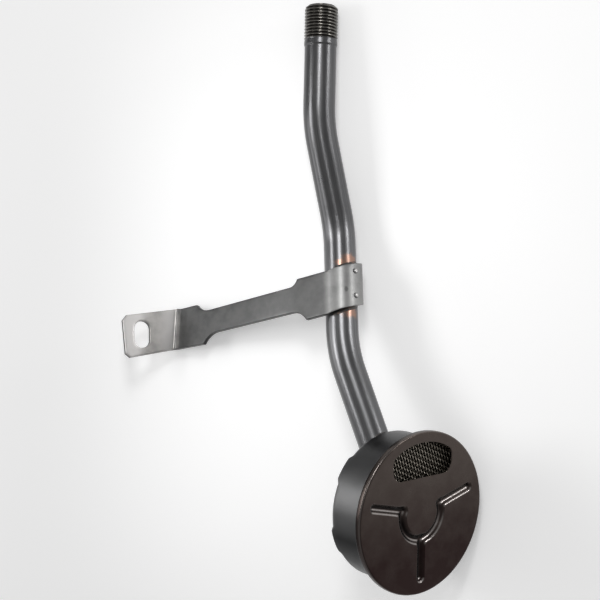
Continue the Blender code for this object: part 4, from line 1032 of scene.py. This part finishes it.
def make_screen(material):
    """Round wires along u at every pitch in v, and the other way, in the turned frame (u, v): each wire's
    height is the dish's plus or minus a wire radius times cos(pi u / pitch), opposite in next wires."""
    count = int(SCREEN_EDGE / WIRE_PITCH)
    turn = math.radians(WEAVE_TURN)
    sides = np.radians(np.arange(0, 360, 360 / WIRE_SIDES))
    points, fields, quads, caps, start = [], [], [], [], 0
    for family in (0, 1):
        for index in range(-count, count + 1):
            v = index * WIRE_PITCH
            reach = math.sqrt(SCREEN_EDGE ** 2 - v ** 2) - WIRE_RADIUS
            if reach < WIRE_PITCH:
                continue
            samples = max(WIRE_RINGS, math.ceil(2 * reach / WIRE_PITCH * WIRE_RINGS))
            u = np.linspace(-reach, reach, samples)
            wave = np.cos(math.pi * u / WIRE_PITCH) * (-1) ** index * (1 if family else -1)
            middle = dish_height(np.hypot(u, v))
            height = middle + WIRE_RADIUS * wave
            slope = np.gradient(height, u)
            tilt = 1 / np.sqrt(1 + slope ** 2)
            lift = WIRE_RADIUS * np.sin(sides)[None, :]
            across = v + WIRE_RADIUS * np.cos(sides)[None, :] + 0 * u[:, None]
            along = u[:, None] - lift * (slope * tilt)[:, None]
            rise = height[:, None] + lift * tilt[:, None]
            x, y = (along, across) if family else (across, along)
            points.append(np.stack([x * math.cos(turn) - y * math.sin(turn),
                                    x * math.sin(turn) + y * math.cos(turn), rise], axis=-1).reshape(-1, 3))
            depth = height[:, None] - middle[:, None] + lift
            field = np.stack([np.full(depth.shape, float(family)), depth, 0 * depth], axis=-1)
            fields.append(field.reshape(-1, 3))
            quads.append(grid_quads(samples, WIRE_SIDES, start))
            caps.append(end_caps(samples, WIRE_SIDES) + start)
            start += samples * WIRE_SIDES
    points = lay_down(from_can(np.vstack(points)))
    return new_piece("wire_cloth", points, [np.vstack(quads), np.vstack(caps)], material,
                     smooth_angle=80.0, fields={"wire": np.vstack(fields)})


def wire_finish():
    """One family of wires lit tan-grey, the other shaded duller, as painted light; both get painted shade in
    the hollows of the weave, and some dirt.
    """
    s = Shader("screen_wire")
    parts = s.parts(s.place("wire"))
    colour = s.mix(parts["X"], SHADED_WEFT_COLOUR, LIT_WARP_COLOUR)
    # Painted shade in the hollows, and dirt by noise
    lit_and_clean = s.span(parts["Y"], *HOLLOW_SHADE, HOLLOW_LIT_SHARE, 1.0)
    lit_and_clean = s.math("MULTIPLY", lit_and_clean, s.shade(s.noise(s.place(), WIRE_DIRT), 0.7, 1.0))
    return s.finish(s.mix(lit_and_clean, WIRE_SHADE_AND_DIRT, colour), WIRE_ROUGHNESS)


cloth = make_screen(wire_finish())
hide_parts("wire_screen")
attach(cloth, "root")


# Cover plate: one disc pressed from sheet, pierced by a window and stiffened by a three-armed bead that
# is pressed inward. Its rim is rolled over the can's flange.

COVER_CORNER = 0.0010
COVER_LIP = 0.0013
LIP_FRONT = FLANGE_FRONT - CAN_WALL - FIT_GAP
RIM_END = LIP_FRONT - COVER_WALL
BEAD_DEPTH = 0.0016
BEAD_FLOOR = 0.0003
BEAD_REACH = 0.0027
BEAD_RING_RADIUS = 0.0123
BEAD_END = 0.0312
BEAD_ARMS = (75.5, 180.0, -75.5)
BEAD_BLEND = 0.0006
WINDOW_CHORD = 0.0174
WINDOW_TOP = 0.0341
WINDOW_WIDTH = 0.0373
WINDOW_CORNER = 0.0060
WINDOW_SHOULDER = 0.0040
WINDOW_EDGE = 0.0002
LIP_ROUND = 0.0002
RIM_RELIEF = 0.0001
COVER_SIDES = 240
# Points on the face: a close lattice of even triangles over the bead and a coarse square grid elsewhere,
# as their steps, how far they reach from the axis, and the room left past the bead's reach
BEAD_SPACING = 0.00018
BEAD_LATTICE = 0.036
BEAD_ROOM = 0.0006
FACE_SPACING = 0.0011
FACE_GRID = 0.038
FACE_SHIFT = 0.00017
FACE_ROOM = 0.0010
WINDOW_STEP = 0.0005
WINDOW_ROOM = 0.0006
COVER_DARK = (0.028, 0.017, 0.016, 1.0)
COVER_LIGHT = (0.080, 0.065, 0.058, 1.0)
COVER_HIGHLIGHT_AND_WEAR = (0.42, 0.39, 0.375, 1.0)
COVER_PAINTED_SHADE = (0.006, 0.005, 0.005, 1.0)
# Painted highlight on the bead's lit wall: distances from the bead's middle, low down and at the shoulder,
# and how much
LIT_WALL_FOOT = (0.0001, 0.0007, 0.0013)
LIT_WALL_SHOULDER = (0.0016, 0.0022, 0.0028)
LIT_WALL_SHARE = 0.80
# The rim's front corner is lighter, partly from wear and partly as a painted highlight: distances from the
# cover's axis, and heights; its lip gets painted shade
RIM_EDGE_RADII = (0.0386, 0.0391)
RIM_LIGHT_SHARE = 0.22
RIM_LIGHT_CORNER = (-0.0012, -0.0004)
LIP_SHADE = (-0.0026, -0.0014)
GROOVE_SHADE = (0.0008, 0.0024)
# The bead's walls on this side of it, in the drawing, get a painted highlight; the others painted shade
LIT_SIDE = (0.45, -0.89, 0.0)
SIDE_STEP = 1e-5
# Slopes of that side where the painted highlight sets in, and where the painted shade gives way, with shares
LIT_FROM = (0.3, 0.8)
SHADE_NEAR = (0.0, 0.5, 1.0, 0.10)
SHADE_FAR = (-0.96, -0.91, 0.35, 1.0)
COVER_SHADES = (-0.034, 0.034)
COVER_CLOUDS = 90.0
COVER_SPECKLE = 500.0
COVER_GRAIN = 1500.0
COVER_MOTTLE = 0.15
COVER_ROUGHNESS = (0.22, 0.28)


def bead_distance(places):
    """Distance from the bead's centre line, three arms and a ring open towards the window, joined by the
    smooth least value -k log(sum exp(-d / k)), which rounds the inner corners where they meet."""
    angle, radius = np.arctan2(places[:, 1], places[:, 0]), np.hypot(places[:, 0], places[:, 1])
    parts = []
    for degrees in BEAD_ARMS:
        direction = np.array((math.cos(math.radians(degrees)), math.sin(math.radians(degrees))))
        along = np.clip(places @ direction, BEAD_RING_RADIUS, BEAD_END)
        parts.append(np.linalg.norm(places - along[:, None] * direction, axis=1))
    limit = math.radians(BEAD_ARMS[0])
    held = np.where(np.abs(angle) < limit, np.sign(angle + 1e-12) * limit, angle)
    nearest = BEAD_RING_RADIUS * np.stack([np.cos(held), np.sin(held)], axis=1)
    parts.append(np.linalg.norm(places - nearest, axis=1))
    parts = np.array(parts)
    return -BEAD_BLEND * np.log(np.sum(np.exp(-parts / BEAD_BLEND), axis=0))


def bead_side(places):
    """Slope of the distance from the bead towards the lit side, -1 to 1, by small steps each way."""
    toward = SIDE_STEP * unit(CAN_AXES[:2] @ np.array(LIT_SIDE))
    return (bead_distance(places + toward) - bead_distance(places - toward)) / (2 * SIDE_STEP)


def bead_sink(places):
    """Depth of the pressed bead: full over a narrow floor, then an S-shaped wall up to the face."""
    return BEAD_DEPTH * (1 - smooth((bead_distance(places) - BEAD_FLOOR) / (BEAD_REACH - BEAD_FLOOR)))


def rounded(corners, steps=10):
    """Closed outline from (x, y, radius) corners, each corner an arc of its radius from u to v:
    (sin((1 - t) w) u + sin(t w) v) / sin w, w between them, t from 0 to 1."""
    parts = []
    for i, (x, y, radius) in enumerate(corners):
        here = np.array((x, y))
        before = np.array(corners[i - 1][:2]) - here
        after = np.array(corners[(i + 1) % len(corners)][:2]) - here
        if radius <= 0:
            parts.append(here[None])
            continue
        u, v = unit(before), unit(after)
        half = math.acos(np.clip(u @ v, -1, 1)) / 2
        reach = min(radius / math.tan(half), 0.49 * np.linalg.norm(before), 0.49 * np.linalg.norm(after))
        size = reach * math.tan(half)
        centre = here + unit(u + v) * size / math.sin(half)
        first, final = here + u * reach - centre, here + v * reach - centre
        sweep = math.acos(np.clip(unit(first) @ unit(final), -1, 1))
        share = np.linspace(0, 1, steps + 1)[:, None]
        turned = np.sin((1 - share) * sweep) * first + np.sin(share * sweep) * final
        parts.append(centre + turned / math.sin(sweep))
    return np.vstack(parts)


def window_outline():
    """Straight lower edge, upper edge concentric with the cover, rounded corners."""
    half = WINDOW_WIDTH / 2
    reach = math.degrees(math.asin(half / WINDOW_TOP))
    crown = arc(0.0, 0.0, WINDOW_TOP, -reach, reach, 40)
    corners = [(WINDOW_CHORD, half, WINDOW_CORNER), (WINDOW_CHORD, -half, WINDOW_CORNER)]
    corners.append((*crown[0], WINDOW_SHOULDER))
    corners += [(*point, 0.0) for point in crown[6:-6]]
    corners.append((*crown[-1], WINDOW_SHOULDER))
    return rounded(corners)


def make_cover(material):
    """Front and back faces over the same flat points, both sunk along the bead, joined by the window's
    rounded rim and, round the outside, by the rolled rim's half section set round the axis."""
    circle = round_points(COVER_SIDES)
    window = even_loop(window_outline(), WINDOW_STEP)
    following = np.roll(window, -1, axis=0)
    if np.sum(window[:, 0] * following[:, 1] - following[:, 0] * window[:, 1]) < 0:
        window = window[::-1]
    x, y = np.meshgrid(np.arange(-BEAD_LATTICE, BEAD_LATTICE, BEAD_SPACING),
                       np.arange(-BEAD_LATTICE, BEAD_LATTICE, BEAD_SPACING * math.sqrt(0.75)))
    x[1::2] += BEAD_SPACING / 2
    fine = np.stack([x, y], axis=-1).reshape(-1, 2)
    fine = fine[bead_distance(fine) < BEAD_REACH + BEAD_ROOM]
    ticks = np.arange(-FACE_GRID, FACE_GRID, FACE_SPACING)
    coarse = np.stack(np.meshgrid(ticks, ticks), axis=-1).reshape(-1, 2) + FACE_SHIFT
    coarse = coarse[bead_distance(coarse) > BEAD_REACH + FACE_ROOM]
    loose = np.vstack([fine, coarse])
    face_edge = COVER_RADIUS - COVER_CORNER
    within = np.hypot(loose[:, 0], loose[:, 1]) < face_edge - WINDOW_ROOM
    loose = loose[within & ~inside_loop(loose, window)]
    loose = loose[loop_distance(loose, window) > WINDOW_ROOM]
    window_rim = rolled_rim(window, -1, COVER_WALL, WINDOW_EDGE, 4)
    hole = window_rim[-1][:, :2]
    flat, faces = fill_flat([circle * face_edge, hole], loose, hole)
    sink = bead_sink(flat)
    window_rim[..., 2] -= COVER_WALL
    inside, lip = COVER_RADIUS - COVER_WALL, CAN_RADIUS + COVER_LIP
    section = np.vstack([
        arc(face_edge, -COVER_CORNER, COVER_CORNER, 90, 0, 8),
        arc(inside, RIM_END + COVER_WALL, COVER_WALL, 0, -90, 8),
        arc(lip + LIP_ROUND, RIM_END + LIP_ROUND, LIP_ROUND, -90, -180, 3),
        ((lip, LIP_FRONT), (inside, LIP_FRONT), (inside, -COVER_WALL - RIM_RELIEF),
         (face_edge, -COVER_WALL))])
    rim = np.concatenate([section[:, :1, None] * circle[None],
                          np.repeat(section[:, None, 1:], COVER_SIDES, axis=1)], axis=-1)
    points, skins = sheet(flat, faces, -sink, -COVER_WALL - sink, (window_rim, rim))
    marks = np.column_stack([bead_distance(points[:, :2]), np.hypot(points[:, 0], points[:, 1]),
                             bead_side(points[:, :2])])
    return new_piece("cover", lay_down(from_can(points)), skins, material, weld=3e-7,
                     fields={"flat": points, "marks": marks})


def cover_finish():
    """Brown-black oxide film, darker and redder low down, with fine mottling; a painted highlight on the lit
    side of the bead's walls; the rim's front corner lighter, partly wear and partly a painted highlight;
    painted shade in the bead and under the rim's lip."""
    s = Shader("cover_steel")
    flat = s.place("flat")
    clouds = s.noise(flat, COVER_CLOUDS, 5.0, 0.6)
    parts = s.parts(flat)
    marks = s.parts(s.place("marks"))
    tone = s.math("ADD", s.span(parts["X"], *COVER_SHADES), s.shade(clouds, -COVER_MOTTLE, COVER_MOTTLE))
    wall = s.most(*[s.band(marks["X"], low, top, top, high)
                    for low, top, high in (LIT_WALL_FOOT, LIT_WALL_SHOULDER)])
    speckle = s.shade(s.noise(flat, COVER_SPECKLE), 0.8 * LIT_WALL_SHARE, LIT_WALL_SHARE)
    # Painted highlight on the lit side of the bead's walls
    wall_highlight = s.math("MULTIPLY", s.math("MULTIPLY", wall, s.span(marks["Z"], *LIT_FROM)), speckle)
    # The rim's front corner: wear and a painted highlight
    rim = s.math("MULTIPLY", s.span(marks["Y"], *RIM_EDGE_RADII, 0.0, RIM_LIGHT_SHARE),
                 s.span(parts["Z"], *RIM_LIGHT_CORNER))
    # Painted shade in the groove, mostly on the walls turned from the light
    shade_side = s.math("MINIMUM", s.span(marks["Z"], *SHADE_NEAR), s.span(marks["Z"], *SHADE_FAR))
    groove_shade = s.math("MULTIPLY", s.span(marks["X"], *GROOVE_SHADE, 0.92, 0.0), shade_side)
    # Painted shade under the rim's lip
    lip = s.math("MULTIPLY", s.span(marks["Y"], *RIM_EDGE_RADII), s.span(parts["Z"], *LIP_SHADE, 0.9, 0.0))
    film = s.mix(s.most(groove_shade, lip), s.mix(tone, COVER_DARK, COVER_LIGHT), COVER_PAINTED_SHADE)
    colour = s.mix(s.most(wall_highlight, rim), film, COVER_HIGHLIGHT_AND_WEAR)
    s.bump(s.noise(flat, COVER_GRAIN), 0.00001, 0.10)
    return s.finish(colour, s.shade(clouds, *COVER_ROUGHNESS))


cover = make_cover(cover_finish())
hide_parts("cover_plate")
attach(cover, "root")


# Studio: a pale floor that fills the view, soft lights placed as the photographer had them, and a
# camera that looks down on the part along the drawing's own axis.

FLOOR_COLOUR = (0.90, 0.90, 0.90, 1.0)
FLOOR_GLOW = 0.27
FLOOR_HALF = 3.0
WORLD_LEVEL = 0.36
CAMERA_PLACE = (-0.01076, -0.14646, 0.79595)
CAMERA_LENS = 96.0
CAMERA_SENSOR = 36.0
# Lights as (to the right, up, distance, width, height, radiance, spread, height of the aim): the first
# two in degrees from the camera's axis, lengths in metres
LIGHTS = {
    "centre_strip": (-6.0, 27.0, 0.60, 0.115, 0.10, 19.0, 180.0, -0.12),
    "high_strip": (-6.0, 36.5, 0.60, 0.115, 0.10, 8.5, 180.0, -0.12),
    "low_strip": (-2.0, 5.7, 0.60, 0.09, 0.08, 8.0, 180.0, -0.12),
    "left_box": (-68.0, 12.0, 0.30, 0.075, 0.25, 1.0, 60.0, -0.165),
    "left_fill": (-96.0, 1.0, 0.60, 0.22, 0.30, 2.0, 180.0, -0.16),
    "right_box": (68.5, 21.5, 1.00, 0.43, 0.155, 14.0, 180.0, -0.12),
}

camera = bpy.data.objects.new("camera", bpy.data.cameras.new("camera"))
bpy.context.scene.collection.objects.link(camera)
camera.data.lens = CAMERA_LENS
camera.data.sensor_width = CAMERA_SENSOR
camera.data.clip_start = 0.05
turn = Matrix(REST_TURN.tolist())
camera.matrix_world = Matrix.Translation(Vector(lay_down(CAMERA_PLACE))) @ turn.to_4x4()
bpy.context.scene.camera = camera

for label, (right, up, distance, width, height, radiance, spread, aim) in LIGHTS.items():
    lamp = bpy.data.lights.new(label, "AREA")
    lamp.shape = "RECTANGLE"
    lamp.size, lamp.size_y = width, height
    lamp.energy = radiance * math.pi * width * height
    lamp.spread = math.radians(spread)
    middle = Vector(lay_down((0.0, aim, 0.01)))
    a, e = math.radians(right), math.radians(up)
    toward = turn @ Vector((math.sin(a) * math.cos(e), math.sin(e), math.cos(a) * math.cos(e)))
    light = bpy.data.objects.new(label, lamp)
    bpy.context.scene.collection.objects.link(light)
    sideways = (turn @ Vector((0.0, 1.0, 0.0))).cross(toward).normalized()
    light.matrix_world = Matrix.Translation(middle + toward * distance) @ Matrix(
        (sideways, toward.cross(sideways), toward)).transposed().to_4x4()

world = bpy.data.worlds.new("studio")
bpy.context.scene.world = world
world.use_nodes = True
sky = world.node_tree.nodes["Background"].inputs
sky["Color"].default_value = (1.0, 1.0, 1.0, 1.0)
sky["Strength"].default_value = WORLD_LEVEL

s = Shader("studio_floor")
rays = s.add("ShaderNodeLightPath").outputs
seen = s.most(rays["Is Camera Ray"], rays["Is Glossy Ray"], rays["Is Transmission Ray"])
s.finish(FLOOR_COLOUR, 1.0, 0.0)
s.body.inputs["Specular IOR Level"].default_value = 0.0
s.body.inputs["Emission Color"].default_value = (1.0, 1.0, 1.0, 1.0)
s.link(s.math("MULTIPLY", seen, FLOOR_GLOW), s.body.inputs["Emission Strength"])
floor_mesh = bpy.data.meshes.new("floor")
corners = [(x * FLOOR_HALF, y * FLOOR_HALF, 0) for x, y in ((-1, -1), (1, -1), (1, 1), (-1, 1))]
floor_mesh.from_pydata(corners, [], [(0, 1, 2, 3)])
floor_mesh.materials.append(s.material)
floor = bpy.data.objects.new("floor", floor_mesh)
bpy.context.scene.collection.objects.link(floor)

bpy.context.scene.view_settings.view_transform = "Standard"
